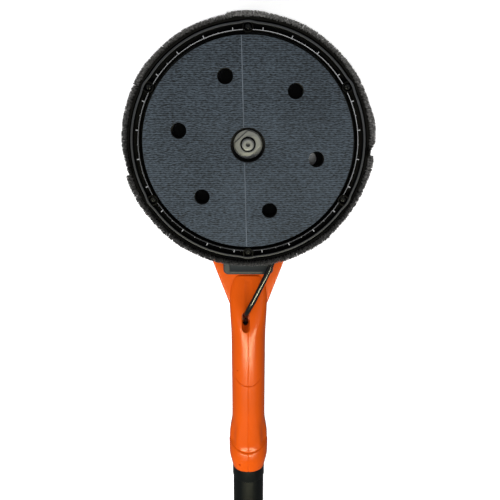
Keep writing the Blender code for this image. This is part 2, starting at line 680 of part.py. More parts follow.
pole = {"origin": PIVOT, "turn": BACKWARDS}
collar("front_tube", TUBE_R - TUBE_WALL, TUBE_R, TUBE_END, TUBE_START, TUBE_BLACK, steps=32, **pole)
foam_profile = [
    (0.0235, 0.760), (0.0260, 0.756), (0.0260, 0.524),
    (0.0235, 0.520), (TUBE_R + GAP, 0.520), (TUBE_R + GAP, 0.760),
]
turned("foam_grip", foam_profile, FOAM, steps=28, **pole)
collar("clamp_collet", REAR_TUBE_R + GAP, TUBE_R, 0.8240, TUBE_END + GAP, BLACK, steps=28, **pole)
lock_profile = [
    (0.0245, 0.830), (0.0275, 0.826), (0.0275, 0.782), (0.0245, 0.775), (TUBE_R + GAP, 0.775),
    (TUBE_R + GAP, 0.8245), (REAR_TUBE_R + GAP, 0.8245), (REAR_TUBE_R + GAP, 0.830),
]
turned("lock_collar", lock_profile, ORANGE, steps=28, **pole)
collar("rear_tube", REAR_TUBE_R - REAR_TUBE_WALL, REAR_TUBE_R, REAR_TUBE_END, REAR_TUBE_START, TUBE_BLACK,
       steps=28, **pole)

# ---- Rear handle: two shells with a closed grip, switch gear and cord gland ----

handle_outline = round_corners([
    (HANDLE_START, 0.0240, 0.003), (1.030, 0.0240, 0.030), (1.062, 0.0380, 0.030),
    (HANDLE_END, 0.0380, 0.018), (HANDLE_END, -PIVOT_HEIGHT, 0.014), (1.076, -PIVOT_HEIGHT, 0.016),
    (1.000, -0.0240, 0.040), (HANDLE_START, -0.0240, 0.003),
])
finger_opening = round_corners([
    (1.080, 0.0160, 0.012), (GRIP_FRONT, 0.0160, 0.012),
    (GRIP_FRONT, -0.0600, 0.012), (1.080, -0.0600, 0.012),
])
button_at = PIVOT + Vector((0.0, -BUTTON_BACK, BUTTON_Z))


def handle_half(side, sign):
    """One clamshell of the rear handle, hollow round the tube, the switch and the dial."""
    low, high = sorted((-sign * GAP / 2, -sign * HANDLE_HALF))
    shell = flat_solid(f"handle_shell_{side}", [handle_outline, finger_opening], low, high, DARK,
                       origin=PIVOT, turn=SIDE_ON)
    edge_weight = shell.data.attributes.new("bevel_weight_edge", "FLOAT", "EDGE")
    work = bmesh.new()
    work.from_mesh(shell.data)
    for edge in work.edges:
        outside = all(abs(abs(vertex.co.z) - HANDLE_HALF) < 1e-5 for vertex in edge.verts)
        if outside and edge.calc_face_angle() > 0.5:
            edge_weight.data[edge.index].value = 1.0
    work.free()
    bevel = shell.modifiers.new("outer_edges", "BEVEL")
    bevel.limit_method = "WEIGHT"
    bevel.width = 0.006
    bevel.segments = 2
    combine(shell, rods(f"tube_socket_{side}", REAR_TUBE_R + GAP, HANDLE_START - 0.01, 0.9925, 28,
                        origin=PIVOT, turn=BACKWARDS))
    pockets = {
        "body": ((0.9920, -0.0150, -0.0160), (1.060, 0.0150, 0.0160)),
        "switch": ((1.1395, -0.0115, -0.0520), (1.1610, 0.0115, 0.0120)),
        "trigger": (
            (1.1280, -0.0069, TRIGGER_LOW - 0.0008), (1.1400, 0.0069, TRIGGER_HIGH + 0.0008)
        ),
        "dial": (
            (DIAL_BACK - DIAL_R - 0.001, -0.0046, 0.0), (DIAL_BACK + DIAL_R + 0.001, 0.0046, 0.03)
        ),
    }
    for pocket, ((back_a, x_a, z_a), (back_b, x_b, z_b)) in pockets.items():
        corners = ((x_a, -back_b, z_a), (x_b, -back_a, z_b))
        combine(shell, solid(f"{pocket}_pocket_{side}", [(box_mesh, corners)], None, origin=PIVOT))
    combine(shell, rods(f"gland_hole_{side}", 0.0066, 1.150, 1.180, 16,
                        origin=PIVOT + Vector((0.0, 0.0, GLAND_DROP)), turn=BACKWARDS))
    if sign > 0:
        combine(shell, rods("button_hole", 0.0054, 0.0, 0.03, 16, origin=button_at, turn=ALONG_X))


for side, sign in (("left", -1), ("right", 1)):
    handle_half(side, sign)

switch_corners = ((-0.0110, -1.1605, -0.0515), (0.0110, -1.1440, -0.0080))
solid("switch_module", [(box_mesh, switch_corners)], BLACK, origin=PIVOT)
trigger_outline = round_corners([
    (1.1205, TRIGGER_HIGH, 0.004), (1.1390, TRIGGER_HIGH, 0.001),
    (1.1390, TRIGGER_LOW, 0.001), (1.1185, TRIGGER_LOW, 0.006),
])
flat_solid("trigger", [trigger_outline], -0.0065, 0.0065, BLACK, origin=PIVOT, turn=SIDE_ON)
rods("lock_button", 0.0050, 0.0100, 0.0262, 16, origin=button_at, turn=ALONG_X, look=BLACK)
flat_solid("speed_dial", [gear_loop(18, DIAL_R - 0.0008, DIAL_R, 0.6, 0.4)], -0.0042, 0.0042, BLACK,
           origin=PIVOT + Vector((0.0, -DIAL_BACK, DIAL_Z)), turn=ALONG_X)
gland_profile = [
    (0.0048, REACH), (0.0062, 1.1735), (0.0062, 1.1520), (0.0036, 1.1520), (0.0036, REACH),
]
turned("cord_gland", gland_profile, RUBBER, steps=18,
       origin=PIVOT + Vector((0.0, 0.0, GLAND_DROP)), turn=BACKWARDS)
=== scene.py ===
"""Looks of the pole drywall sander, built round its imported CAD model.

Metres, in the CAD's frame: the floor is z = 0 and the pole runs along -Y. Every mesh is made in
place. Lengths called "back" run from the fork's pivot towards the rear handle, so y = -back.
"""

import math
import random

import bmesh
import bpy
from mathutils import Euler, Matrix, Vector


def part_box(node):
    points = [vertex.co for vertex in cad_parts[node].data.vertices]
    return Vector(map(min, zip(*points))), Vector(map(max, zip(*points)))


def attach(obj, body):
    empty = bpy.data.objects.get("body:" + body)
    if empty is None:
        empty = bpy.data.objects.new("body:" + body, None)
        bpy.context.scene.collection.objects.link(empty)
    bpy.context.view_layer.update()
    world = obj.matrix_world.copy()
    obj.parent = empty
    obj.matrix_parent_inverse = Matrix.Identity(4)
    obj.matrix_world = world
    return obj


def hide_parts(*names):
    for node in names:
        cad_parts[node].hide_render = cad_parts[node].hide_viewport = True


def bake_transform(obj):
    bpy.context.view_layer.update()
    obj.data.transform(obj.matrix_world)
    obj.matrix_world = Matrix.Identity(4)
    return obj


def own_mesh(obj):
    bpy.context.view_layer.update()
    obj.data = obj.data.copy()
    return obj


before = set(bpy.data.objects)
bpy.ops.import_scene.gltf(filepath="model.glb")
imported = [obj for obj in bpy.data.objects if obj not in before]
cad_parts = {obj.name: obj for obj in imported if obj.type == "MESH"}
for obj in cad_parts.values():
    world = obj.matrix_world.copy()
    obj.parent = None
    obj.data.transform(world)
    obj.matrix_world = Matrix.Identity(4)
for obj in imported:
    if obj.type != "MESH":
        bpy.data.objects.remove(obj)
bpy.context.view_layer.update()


def turn_z(degrees):
    """A turn about the upright axis."""
    return Matrix.Rotation(math.radians(degrees), 4, "Z")


def turned_by(x, y, z):
    """A turn by Euler angles in radians."""
    return Euler((x, y, z)).to_matrix().to_4x4()


def placed(name, data):
    """A new object in the scene."""
    made = bpy.data.objects.new(name, data)
    bpy.context.scene.collection.objects.link(made)
    return made


QUARTER = math.pi / 2
PIVOT = Vector((0.0, 0.53375, 0.080))
PAD = PIVOT + Vector((0.0, 0.0, 0.075))
AT_ORIGIN = Matrix.Identity(4)
ON_PAD = Matrix.Translation(PAD)
ON_PIVOT = Matrix.Translation(PIVOT)
ALONG_X = ON_PIVOT @ turned_by(0.0, QUARTER, 0.0)
ALONG_POLE = ON_PIVOT @ turned_by(QUARTER, 0.0, 0.0)
SIDE_ON = ON_PIVOT @ turned_by(QUARTER, 0.0, -QUARTER)
SIDES = (("left", -1), ("right", 1))

# ---- Camera, world and lights ----

camera_data = bpy.data.cameras.new("camera")
camera_data.lens = 36.0
camera_data.sensor_width = 36.0
camera_data.shift_y = -0.085
camera = placed("camera", camera_data)
camera.location = (0.0021, 0.57545, 0.6659)
camera.rotation_euler = (math.radians(-11.78), 0.0, 0.0)
bpy.context.scene.camera = camera
bpy.context.scene.view_settings.view_transform = "Standard"

world = bpy.context.scene.world or bpy.data.worlds.new("studio")
bpy.context.scene.world = world
world.use_nodes = True
background = world.node_tree.nodes["Background"]
background.inputs["Color"].default_value = (1.0, 1.0, 1.0, 1.0)
background.inputs["Strength"].default_value = 0.16


def softbox(name, place, aim, size, watts, gloss, tint=(1.0, 1.0, 1.0)):
    """A rectangular area light that faces a point, seen either as gloss or as soft light."""
    data = bpy.data.lights.new(name, "AREA")
    data.shape = "RECTANGLE"
    data.size, data.size_y = size
    data.energy = watts
    data.color = tint
    lamp = placed(name, data)
    lamp.location = place
    lamp.visible_glossy = gloss
    lamp.visible_diffuse = not gloss
    lamp.rotation_euler = (Vector(aim) - Vector(place)).to_track_quat("-Z", "Y").to_euler()


MIDDLE = (0.0, 0.15, 0.05)
WARM = (1.0, 0.96, 0.62)
softbox("key_light", (-0.85, -0.95, 1.75), MIDDLE, (1.5, 1.5), 50, False)
softbox("fill_light", (1.1, -0.3, 1.8), MIDDLE, (1.4, 1.4), 19, False)
softbox("side_light", (-1.3, 0.60, 0.75), (0.0, 0.5, 0.1), (0.6, 0.4), 4, False)
softbox("pole_light", (0.0, -0.35, 1.30), (0.0, 0.2, 0.1), (1.8, 0.09), 27, True, WARM)

# ---- Materials ----


def new_look(name, values):
    """A material and its node tree, with the shader's uniform inputs set."""
    made = bpy.data.materials.new(name)
    made.use_nodes = True
    shader = made.node_tree.nodes["Principled BSDF"]
    for socket, value in values.items():
        shader.inputs[socket].default_value = value
    return made, made.node_tree


def add_node(tree, kind, values, links, **settings):
    """A new shader node, with its settings, its input values and the links into it."""
    made = tree.nodes.new("ShaderNode" + kind)
    for setting, value in settings.items():
        setattr(made, setting, value)
    for socket, value in values.items():
        made.inputs[socket].default_value = value
    for socket, source in links.items():
        tree.links.new(source, made.inputs[socket])
    return made


def to_shader(tree, socket, source):
    """Links a value into the material's shader."""
    tree.links.new(source, tree.nodes["Principled BSDF"].inputs[socket])


def own_place(tree):
    """A point's own place on its piece, which moves with it."""
    return add_node(tree, "TexCoord", {}, {}).outputs["Object"]


def ramp_between(tree, factor, low, high, stops=(0.3, 0.7)):
    """A colour between two, by a factor."""
    ramp = add_node(tree, "ValToRGB", {}, {"Fac": factor})
    elements = ramp.color_ramp.elements
    for k, colour in enumerate((low, high)):
        elements[k].position = stops[k]
        elements[k].color = (*colour, 1.0)
    return ramp.outputs["Color"]


def noise_of(tree, place, scale, detail=3.0, stretch=(1.0, 1.0, 1.0)):
    """Noise over the piece's own coordinates, optionally drawn out along an axis."""
    mapping = add_node(tree, "Mapping", {"Scale": stretch}, {"Vector": place})
    noise = add_node(tree, "TexNoise", {"Scale": scale, "Detail": detail},
                     {"Vector": mapping.outputs["Vector"]})
    return noise.outputs["Fac"]


def ranged(tree, value, low, high, source=(0.3, 0.7)):
    """A value moved from one range to another."""
    limits = {"From Min": source[0], "From Max": source[1], "To Min": low, "To Max": high}
    return add_node(tree, "MapRange", limits, {"Value": value}).outputs["Result"]


def roughened(tree, height, strength, depth):
    """Tips the shader's normal by a height."""
    bump = add_node(tree, "Bump", {"Strength": strength, "Distance": depth}, {"Height": height})
    to_shader(tree, "Normal", bump.outputs["Normal"])


PATCH_SCALE = 18.0
SHARP_EDGES = (0.52, 0.60)  # pointiness where wear starts and where it is full


def surface(name, colour, roughness, grain=900.0, depth=0.00004, spread=0.12, metallic=0.0,
            stretch=(1.0, 1.0, 1.0), worn=0.0, coat=0.0, specular=0.5):
    """Moulded, cast or drawn surface: uneven colour and gloss, fine grain, paler worn edges."""
    made, tree = new_look(name, {
        "Metallic": metallic, "Coat Weight": coat, "Coat Roughness": 0.2,
        "Specular IOR Level": specular,
    })
    place = own_place(tree)
    low = tuple(c * (1.0 - spread) for c in colour)
    high = tuple(min(1.0, c * (1.0 + spread)) for c in colour)
    shade = ramp_between(tree, noise_of(tree, place, PATCH_SCALE), low, high)
    if worn:
        pointed = add_node(tree, "NewGeometry", {}, {}).outputs["Pointiness"]
        edges = ranged(tree, pointed, 0.0, worn, SHARP_EDGES)
        paler = (*(min(1.0, 0.06 + c * 1.5) for c in colour), 1.0)
        mix = add_node(tree, "Mix", {"B": paler}, {"Factor": edges, "A": shade},
                       data_type="RGBA")
        shade = mix.outputs["Result"]
    to_shader(tree, "Base Color", shade)
    fine = noise_of(tree, place, grain, 2.0, stretch)
    to_shader(tree, "Roughness", ranged(tree, fine, roughness - 0.06, roughness + 0.08))
    roughened(tree, fine, 0.6, depth)
    return made


ORANGE = surface("orange_shell", (0.70, 0.092, 0.004), 0.16, 1400.0, 0.00002, 0.05, worn=0.15,
                 specular=0.14)
DARK = surface("dark_plastic", (0.020, 0.022, 0.024), 0.46, 1100.0, 0.00005, 0.2, worn=0.35,
               specular=0.35)
BRACKET = surface("bracket_plastic", (0.026, 0.031, 0.034), 0.50, 1000.0, 0.00006, 0.2, worn=0.3,
                  specular=0.3)
BLACK = surface("black_plastic", (0.006, 0.0065, 0.007), 0.42, 1200.0, 0.00004, 0.2, worn=0.3,
                specular=0.2)
TRENCH = surface("carrier_plastic", (0.0022, 0.0023, 0.0025), 0.55, 1200.0, 0.00004, 0.2,
                 specular=0.08)
RIM = surface("rim_plastic", (0.034, 0.036, 0.040), 0.45, 1000.0, 0.00005, 0.2, specular=0.3)
LIP = surface("lip_plastic", (0.42, 0.43, 0.44), 0.35, 1000.0, 0.00005, 0.3)
# Near-white: painted light, the lit patch seen down one dust hole.
LIT_PATCH = surface("painted_light_patch", (0.90, 0.93, 0.95), 0.55, 1000.0, 0.00005, 0.15)
CAST = surface("grey_casting", (0.060, 0.066, 0.070), 0.50, 700.0, 0.00012, 0.15, 0.3, worn=0.4)
FOAM = surface("black_foam", (0.012, 0.012, 0.013), 0.90, 1600.0, 0.00030, 0.3)
# Near-black for pieces that stand for shade: painted shade among the bristle roots and in the gap
# round the centre bolt.
SHADE_BLACK = surface("painted_shade_black", (0.003, 0.003, 0.003), 0.90, 1500.0, 0.00020, 0.3, specular=0.1)
STEEL = surface("zinc_steel", (0.26, 0.268, 0.27), 0.50, 600.0, 0.00002, 0.12, 0.6, worn=0.25)
BOLT = surface("dark_steel", (0.024, 0.026, 0.028), 0.45, 600.0, 0.00002, 0.2, 0.6, worn=0.25)
IRON = surface("laminated_iron", (0.25, 0.25, 0.26), 0.45, 2500.0, 0.00008, 0.1, 0.9,
               stretch=(0.02, 0.02, 1.0))
COPPER = surface("copper_winding", (0.70, 0.30, 0.14), 0.35, 2500.0, 0.00010, 0.15, 0.9)
CARBON = surface("pressed_carbon", (0.02, 0.02, 0.02), 0.60, 1500.0, 0.00006, 0.2)
RUBBER = surface("black_rubber", (0.004, 0.004, 0.004), 0.14, 700.0, 0.00001, 0.2, coat=0.2)
TUBE = surface("black_tube", (0.0036, 0.0048, 0.0048), 0.34, 1500.0, 0.00002, 0.2,
               stretch=(1.0, 0.02, 1.0), specular=0.12)


def hook_cloth():
    """Grey hook face: rows of hooks across it, two millimetres apart, and lighter specks."""
    made, tree = new_look("hook_cloth", {
        "Specular IOR Level": 0.2, "Sheen Weight": 0.1, "Sheen Roughness": 0.6,
    })
    place = own_place(tree)
    wave = {"Scale": 150.0, "Distortion": 5.0, "Detail": 3.0, "Detail Scale": 1.6}
    rows = add_node(tree, "TexWave", wave, {"Vector": place}, bands_direction="Y").outputs["Fac"]
    specks = noise_of(tree, place, 560.0, 2.0, (0.6, 1.0, 1.0))
    clouds = noise_of(tree, place, 16.0)

    def sum_of(first, second, share):
        """Two values mixed, with this share of the second."""
        return add_node(tree, "Mix", {"Factor": share}, {"A": first, "B": second}).outputs["Result"]

    pattern = sum_of(sum_of(rows, specks, 0.76), clouds, 0.18)
    shade = ramp_between(tree, pattern, (0.0045, 0.0068, 0.0098), (0.069, 0.090, 0.112),
                         (0.33, 0.67))
    to_shader(tree, "Base Color", shade)
    to_shader(tree, "Roughness", ranged(tree, specks, 0.7, 0.95))
    roughened(tree, sum_of(rows, specks, 0.5), 0.7, 0.0003)
    return made


def strand_nylon():
    """Bristles: each strand its own grey by its place; towards the skirt's inner side they are
    painted black, as painted shade deep in the ring.
    """
    made, tree = new_look("strand_nylon", {"Roughness": 0.65, "Specular IOR Level": 0.25})
    place = own_place(tree)
    tone = noise_of(tree, place, 700.0, 2.0, (1.0, 1.0, 0.1))
    away = add_node(tree, "VectorMath", {1: PAD}, {0: place}, operation="SUBTRACT")
    flat = add_node(tree, "VectorMath", {1: (1.0, 1.0, 0.0)}, {0: away.outputs["Vector"]},
                    operation="MULTIPLY")
    radius = add_node(tree, "VectorMath", {}, {0: flat.outputs["Vector"]}, operation="LENGTH")
    # Strands nearer the middle fade to near-black: painted shade, not the nylon's own colour.
    outer = ranged(tree, radius.outputs["Value"], 0.0, 1.0, (0.1228, 0.1258))
    shade = ramp_between(tree, tone, (0.045, 0.045, 0.046), (0.340, 0.332, 0.320))
    mix = add_node(tree, "Mix", {"A": (0.0025, 0.0025, 0.0025, 1.0)},
                   {"Factor": outer, "B": shade}, data_type="RGBA")
    to_shader(tree, "Base Color", mix.outputs["Result"])
    return made


HOOK = hook_cloth()
STRANDS = strand_nylon()

# ---- Shape helpers ----


def piece(name, mesh, look, body, replaced=(), angle=40):
    """A finished mesh in the CAD's frame, riding on a body and standing for CAD nodes."""
    mesh.materials.clear()
    mesh.materials.append(look)
    mesh.shade_smooth()
    mesh.set_sharp_from_angle(angle=math.radians(angle))
    made = placed(name, mesh)
    if body:
        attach(made, body)
    if replaced:
        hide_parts(*replaced)
    return made


def mesh_of(work, name, place=Matrix.Identity(4)):
    """A bmesh as a mesh, facing out, moved to its place."""
    bmesh.ops.transform(work, matrix=place, verts=work.verts)
    bmesh.ops.recalc_face_normals(work, faces=work.faces)
    mesh = bpy.data.meshes.new(name)
    work.to_mesh(mesh)
    work.free()
    return mesh


def skin_of(work, rings, name, place=AT_ORIGIN):
    """Rings of points joined by a skin, with both ends closed."""
    for near, far in zip(rings, rings[1:]):
        for k in range(len(near)):
            work.faces.new((near[k - 1], near[k], far[k], far[k - 1]))
    work.faces.new(rings[0])
    work.faces.new(rings[-1])
    return mesh_of(work, name, place)


def evaluated(holder):
    """A new mesh of an object as its modifiers leave it."""
    bpy.context.view_layer.update()
    graph = bpy.context.evaluated_depsgraph_get()
    return bpy.data.meshes.new_from_object(holder.evaluated_get(graph))


def joined(meshes, name):
    """Several meshes as one."""
    work = bmesh.new()
    for mesh in meshes:
        work.from_mesh(mesh)
    made = bpy.data.meshes.new(name)
    work.to_mesh(made)
    work.free()
    return made


def carved(mesh, tools, bevel=0.0):
    """The mesh with tool meshes cut out of it, then its sharp edges rounded."""
    base = placed("carved_base", mesh)
    helpers = [base]
    for number, tool in enumerate(tools):
        cutter = placed(f"carving_tool_{number}", tool)
        change = base.modifiers.new("cut", "BOOLEAN")
        change.operation = "DIFFERENCE"
        change.object = cutter
        helpers.append(cutter)
    if bevel:
        rounding = base.modifiers.new("rounding", "BEVEL")
        rounding.width = bevel
        rounding.segments = 2
        rounding.limit_method = "ANGLE"
        rounding.angle_limit = math.radians(35)
    made = evaluated(base)
    for helper in helpers:
        bpy.data.objects.remove(helper)
    return made


def swell(value, middle, width):
    """1 at the middle, falling smoothly to 0 a width away."""
    off = abs(value - middle) / width
    return 0.0 if off >= 1 else (1 - off * off) ** 2


def rise(value, low, high):
    """From 0 at the low end smoothly to 1 at the high end."""
    t = min(1.0, max(0.0, (value - low) / (high - low)))
    return t * t * (3 - 2 * t)


def circle(radius, count, middle=(0.0, 0.0), first=0.0):
    """Points round a circle, the first of them at an angle in radians."""
    steps = (first + 2 * math.pi * k / count for k in range(count))
    return [(middle[0] + radius * math.cos(a), middle[1] + radius * math.sin(a)) for a in steps]


def round_corners(corners, count=8):
    """Closed outline through corners given as (x, y, radius)."""
    outline = []
    for k, (x, y, radius) in enumerate(corners):
        here = Vector((x, y))
        to_last = (Vector(corners[k - 1][:2]) - here).normalized()
        to_next = (Vector(corners[(k + 1) % len(corners)][:2]) - here).normalized()
        if radius == 0:
            outline.append((x, y))
            continue
        half = to_last.angle(to_next) / 2
        reach = radius / math.tan(half)
        centre = here + (to_last + to_next).normalized() * radius / math.sin(half)
        first = here + to_last * reach - centre
        last = here + to_next * reach - centre
        for step in range(count + 1):
            ray = first.slerp(last, step / count).normalized()
            outline.append(tuple(centre + ray * radius))
    return outline


def band(outer, inner, top, foot):
    """Profile of a plain ring or tube."""
    return [(outer, top), (outer, foot), (inner, foot), (inner, top)]


CORNER_STEPS = 3


def softened(profile, radius):
    """A closed profile with each corner rounded as far as its edges allow."""
    outline = []
    for k, here in enumerate(profile):
        here = Vector(here)
        last, after = Vector(profile[k - 1]), Vector(profile[(k + 1) % len(profile)])
        reach = min(radius, 0.45 * min((here - last).length, (after - here).length))
        start = here + (last - here).normalized() * reach
        end = here + (after - here).normalized() * reach
        for step in range(CORNER_STEPS + 1):
            t = step / CORNER_STEPS
            outline.append(tuple(start * (1 - t) ** 2 + here * 2 * t * (1 - t) + end * t * t))
    return outline


def lathe(name, profile, place, steps=128, radius=0.0008):
    """A profile of (radius, height) swept round Z. One that starts on the axis ends there too."""
    ring = profile[0][0] > 0.0
    rounded = softened(profile, radius)
    if ring:
        profile = rounded
    else:
        corner = CORNER_STEPS + 1
        profile = [profile[0], *rounded[corner:-corner], profile[-1]]
    work = bmesh.new()
    loops = []
    for k in range(steps):
        a = 2 * math.pi * k / steps
        c, s = math.cos(a), math.sin(a)
        loops.append([work.verts.new((r * c, r * s, z)) for r, z in profile])
    count = len(profile)
    for k in range(steps):
        here, after = loops[k], loops[(k + 1) % steps]
        for j in range(count if ring else count - 1):
            n = (j + 1) % count
            work.faces.new((here[j], after[j], after[n], here[n]))
    bmesh.ops.remove_doubles(work, verts=work.verts, dist=1e-7)
    return mesh_of(work, name, place)


def lathed(name, profile, place, steps, radius, look, body, replaced=()):
    """A lathed mesh as a piece of its own."""
    return piece(name, lathe(name, profile, place, steps, radius), look, body, replaced)


def slab(name, loops, low, high, place, bevel=0.0, segments=3):
    """Outlines and their holes, filled, extruded between two heights and rounded."""
    curve = bpy.data.curves.new(name, "CURVE")
    curve.dimensions = "2D"
    curve.fill_mode = "BOTH"
    curve.extrude = (high - low) / 2 - bevel
    curve.bevel_depth = bevel
    curve.bevel_resolution = segments
    curve.offset = -bevel
    for loop in loops:
        spline = curve.splines.new("POLY")
        spline.points.add(len(loop) - 1)
        for point, (x, y) in zip(spline.points, loop):
            point.co = (x, y, 0.0, 1.0)
        spline.use_cyclic_u = True
    holder = placed(name, curve)
    mesh = evaluated(holder)
    bpy.data.objects.remove(holder)
    work = bmesh.new()
    work.from_mesh(mesh)
    bmesh.ops.remove_doubles(work, verts=work.verts, dist=1e-6)
    bmesh.ops.translate(work, verts=work.verts, vec=(0.0, 0.0, (low + high) / 2))
    return mesh_of(work, name, place)


def box(low, high, place):
    """A block between two corners."""
    low, high = Vector(low), Vector(high)
    work = bmesh.new()
    made = bmesh.ops.create_cube(work, size=1.0)
    bmesh.ops.scale(work, verts=made["verts"], vec=high - low)
    bmesh.ops.translate(work, verts=made["verts"], vec=(low + high) / 2)
    return mesh_of(work, "box", place)


def rod(radius, low, high, place, middle=(0.0, 0.0), count=40):
    """An upright cylinder or prism between two heights, used as a cutter."""
    work = bmesh.new()
    made = bmesh.ops.create_cone(
        work, cap_ends=True, segments=count, radius1=radius, radius2=radius, depth=high - low
    )
    shift = Vector((middle[0], middle[1], (low + high) / 2))
    bmesh.ops.translate(work, verts=made["verts"], vec=shift)
    return mesh_of(work, "rod", place)


def tube_along(name, points, radius, count=20):
    """A round bar with capped ends along points in the CAD's frame."""
    points = [Vector(p) for p in points]
    around = circle(1.0, count)
    work = bmesh.new()
    side = Vector((1.0, 0.0, 0.0))
    rings = []
    for k, here in enumerate(points):
        run = (points[min(k + 1, len(points) - 1)] - points[max(k - 1, 0)]).normalized()
        side = (side - run * side.dot(run)).normalized()
        up = run.cross(side)
        rings.append([work.verts.new(here + radius * (x * side + y * up)) for x, y in around])
    return skin_of(work, rings, name)


def smooth_path(points, per_span):
    """Points of a Catmull-Rom curve through the given ones."""
    given = [Vector(p) for p in points]
    given = [2 * given[0] - given[1]] + given + [2 * given[-1] - given[-2]]
    path = []
    for a, b, c, d in zip(given, given[1:], given[2:], given[3:]):
        for step in range(per_span):
            t = step / per_span
            cubic = (2 * b) + (c - a) * t + (2 * a - 5 * b + 4 * c - d) * t**2
            path.append((cubic + (3 * b - a - 3 * c + d) * t**3) / 2)
    path.append(given[-2])
    return path


# ---- Brush skirt: bristles ----

SKIRT_R = 0.1275
BRISTLE_FOOT = -0.0097
# Where the bristles stand proud or fall short: from and to in degrees, and the change of radius
# at each of the two.
UNEVEN = [
    (82, 99, 0.0008, 0.0011), (99, 118, -0.0004, -0.0004), (140, 152, 0.0004, 0.0002),
    (180, 194.3, 0.0, -0.0022), (194.3, 216, 0.0012, 0.0002), (215, 233, -0.0005, -0.0003),
    (300, 312, 0.0004, 0.0006), (312, 328, -0.0004, 0.0), (344, 351.5, 0.0006, 0.0016),
    (351.5, 354.9, 0.0016, 0.0003), (354.9, 357.6, -0.0030, -0.0034), (357.6, 361, -0.0030, 0.0004),
    (361, 371, 0.0006, 0.0014), (371, 380, 0.0012, 0.0),
]
STRAND_COUNT = 12000
STRAND_R = 0.00033
STRAND_LEVELS = ((0.0, 1.0), (0.55, 1.0), (1.0, 0.55))  # share of the height, width of the strand
THIRD_TURN = 2.0944


def skirt_offset(degrees):
    """How far the bristles' outline leaves its circle there."""
    total = 0.00025 * math.sin(math.radians(degrees * 5 + 40))
    total += 0.0002 * math.sin(math.radians(degrees * 13))
    for first, last, change, final in UNEVEN:
        for place in (degrees, degrees + 360):
            if first <= place < last:
                total += change + (final - change) * (place - first) / (last - first)
    return total


def bristle_strands():
    """Tapered strands that lean outwards a little, packed into the ring."""
    draw = random.Random(7)
    vertices, faces = [], []
    for _ in range(STRAND_COUNT):
        degrees = draw.uniform(0.0, 360.0)
        share = draw.random() ** 0.45  # 0 at the ring's inner side, 1 at its outline
        outline = SKIRT_R + 0.0009 + skirt_offset(degrees)
        tip_r = max(0.1215, outline - (1.0 - share) * 0.0046)
        foot_r = 0.1222 + 0.0038 * share
        if outline < 0.1235:
            foot_r = min(foot_r, tip_r + 0.0004)
        height = draw.uniform(0.0012, 0.0040) - 0.0016 * (1.0 - share)
        lean = math.radians(draw.gauss(0.0, 0.35))
        angle = math.radians(degrees)
        twist = draw.uniform(0.0, 2.1)
        start = len(vertices)
        for up, width in STRAND_LEVELS:
            r = foot_r + (tip_r - foot_r) * up ** 1.6
            a = angle + lean * up
            z = BRISTLE_FOOT + (height - BRISTLE_FOOT) * up
            centre = PAD + Vector((r * math.cos(a), r * math.sin(a), z))
            for corner in range(3):
                b = twist + corner * THIRD_TURN
                offset = Vector((math.cos(b), math.sin(b), 0.0)) * STRAND_R * width
                vertices.append(centre + offset)
        for level in range(2):
            low = start + level * 3
            for corner in range(3):
                after = (corner + 1) % 3
                faces.append((low + corner, low + after, low + 3 + after, low + 3 + corner))
        faces.append((start, start + 2, start + 1))
        faces.append((start + 6, start + 7, start + 8))
    mesh = bpy.data.meshes.new("brush_strands")
    mesh.from_pydata(vertices, [], faces)
    return mesh


# Near-black band packed among the bristle roots: painted shade deep inside the bristles.
root_profile = [
    (0.1258, -0.0030), (0.1260, BRISTLE_FOOT), (0.1212, BRISTLE_FOOT), (0.1214, -0.0030),
]
root_mesh = lathe("bristle_root_band", root_profile, ON_PAD, 180)
for vertex in root_mesh.vertices:
    flat = Vector((vertex.co.x - PAD.x, vertex.co.y - PAD.y, 0.0))
    change = min(0.0, skirt_offset(math.degrees(math.atan2(flat.y, flat.x)) % 360.0))
    if flat.length > 0.1235:
        pulled = flat.normalized() * max(0.1220, flat.length + change)
        vertex.co.x, vertex.co.y = PAD.x + pulled.x, PAD.y + pulled.y
piece("bristle_root_band", root_mesh, SHADE_BLACK, "brush_skirt")
piece("brush_strands", bristle_strands(), STRANDS, "brush_skirt", ["brush_bristles"])

# ---- Brush skirt: carrier with ribs, bosses and screws ----

SCREWS = circle(0.1150, 6, first=math.radians(30))
carrier_profile = [
    (0.1200, -0.0014), (0.1200, -0.0100), (0.1265, -0.0100), (0.1265, -0.0180),
    (0.1186, -0.0180), (0.1186, -0.0110), (0.1112, -0.0110), (0.1112, -0.0030),
    (0.1124, -0.0030), (0.1124, -0.0080), (0.1176, -0.0080), (0.1176, -0.0014),
]
screw_wells = [rod(0.0041, -0.0079, 0.0010, ON_PAD, at, 32) for at in SCREWS]
carrier_meshes = [carved(lathe("carrier_ring", carrier_profile, ON_PAD, 240, 0.0003), screw_wells)]
boss = band(0.0056, 0.0042, -0.0017, -0.0082)
for x, y in SCREWS:
    carrier_meshes.append(lathe("boss", boss, ON_PAD @ Matrix.Translation((x, y, 0.0)), 36, 0.0002))


def bulged(mesh):
    """The mesh with its outer wall pushed out round each screw boss."""
    for vertex in mesh.vertices:
        flat = Vector((vertex.co.x - PAD.x, vertex.co.y - PAD.y, 0.0))
        if flat.length > 0.1170 and vertex.co.z > PAD.z - 0.0098:
            degrees = math.degrees(math.atan2(flat.y, flat.x)) % 60
            vertex.co += flat.normalized() * (0.0013 * swell(degrees, 30.0, 5.0))
    return mesh


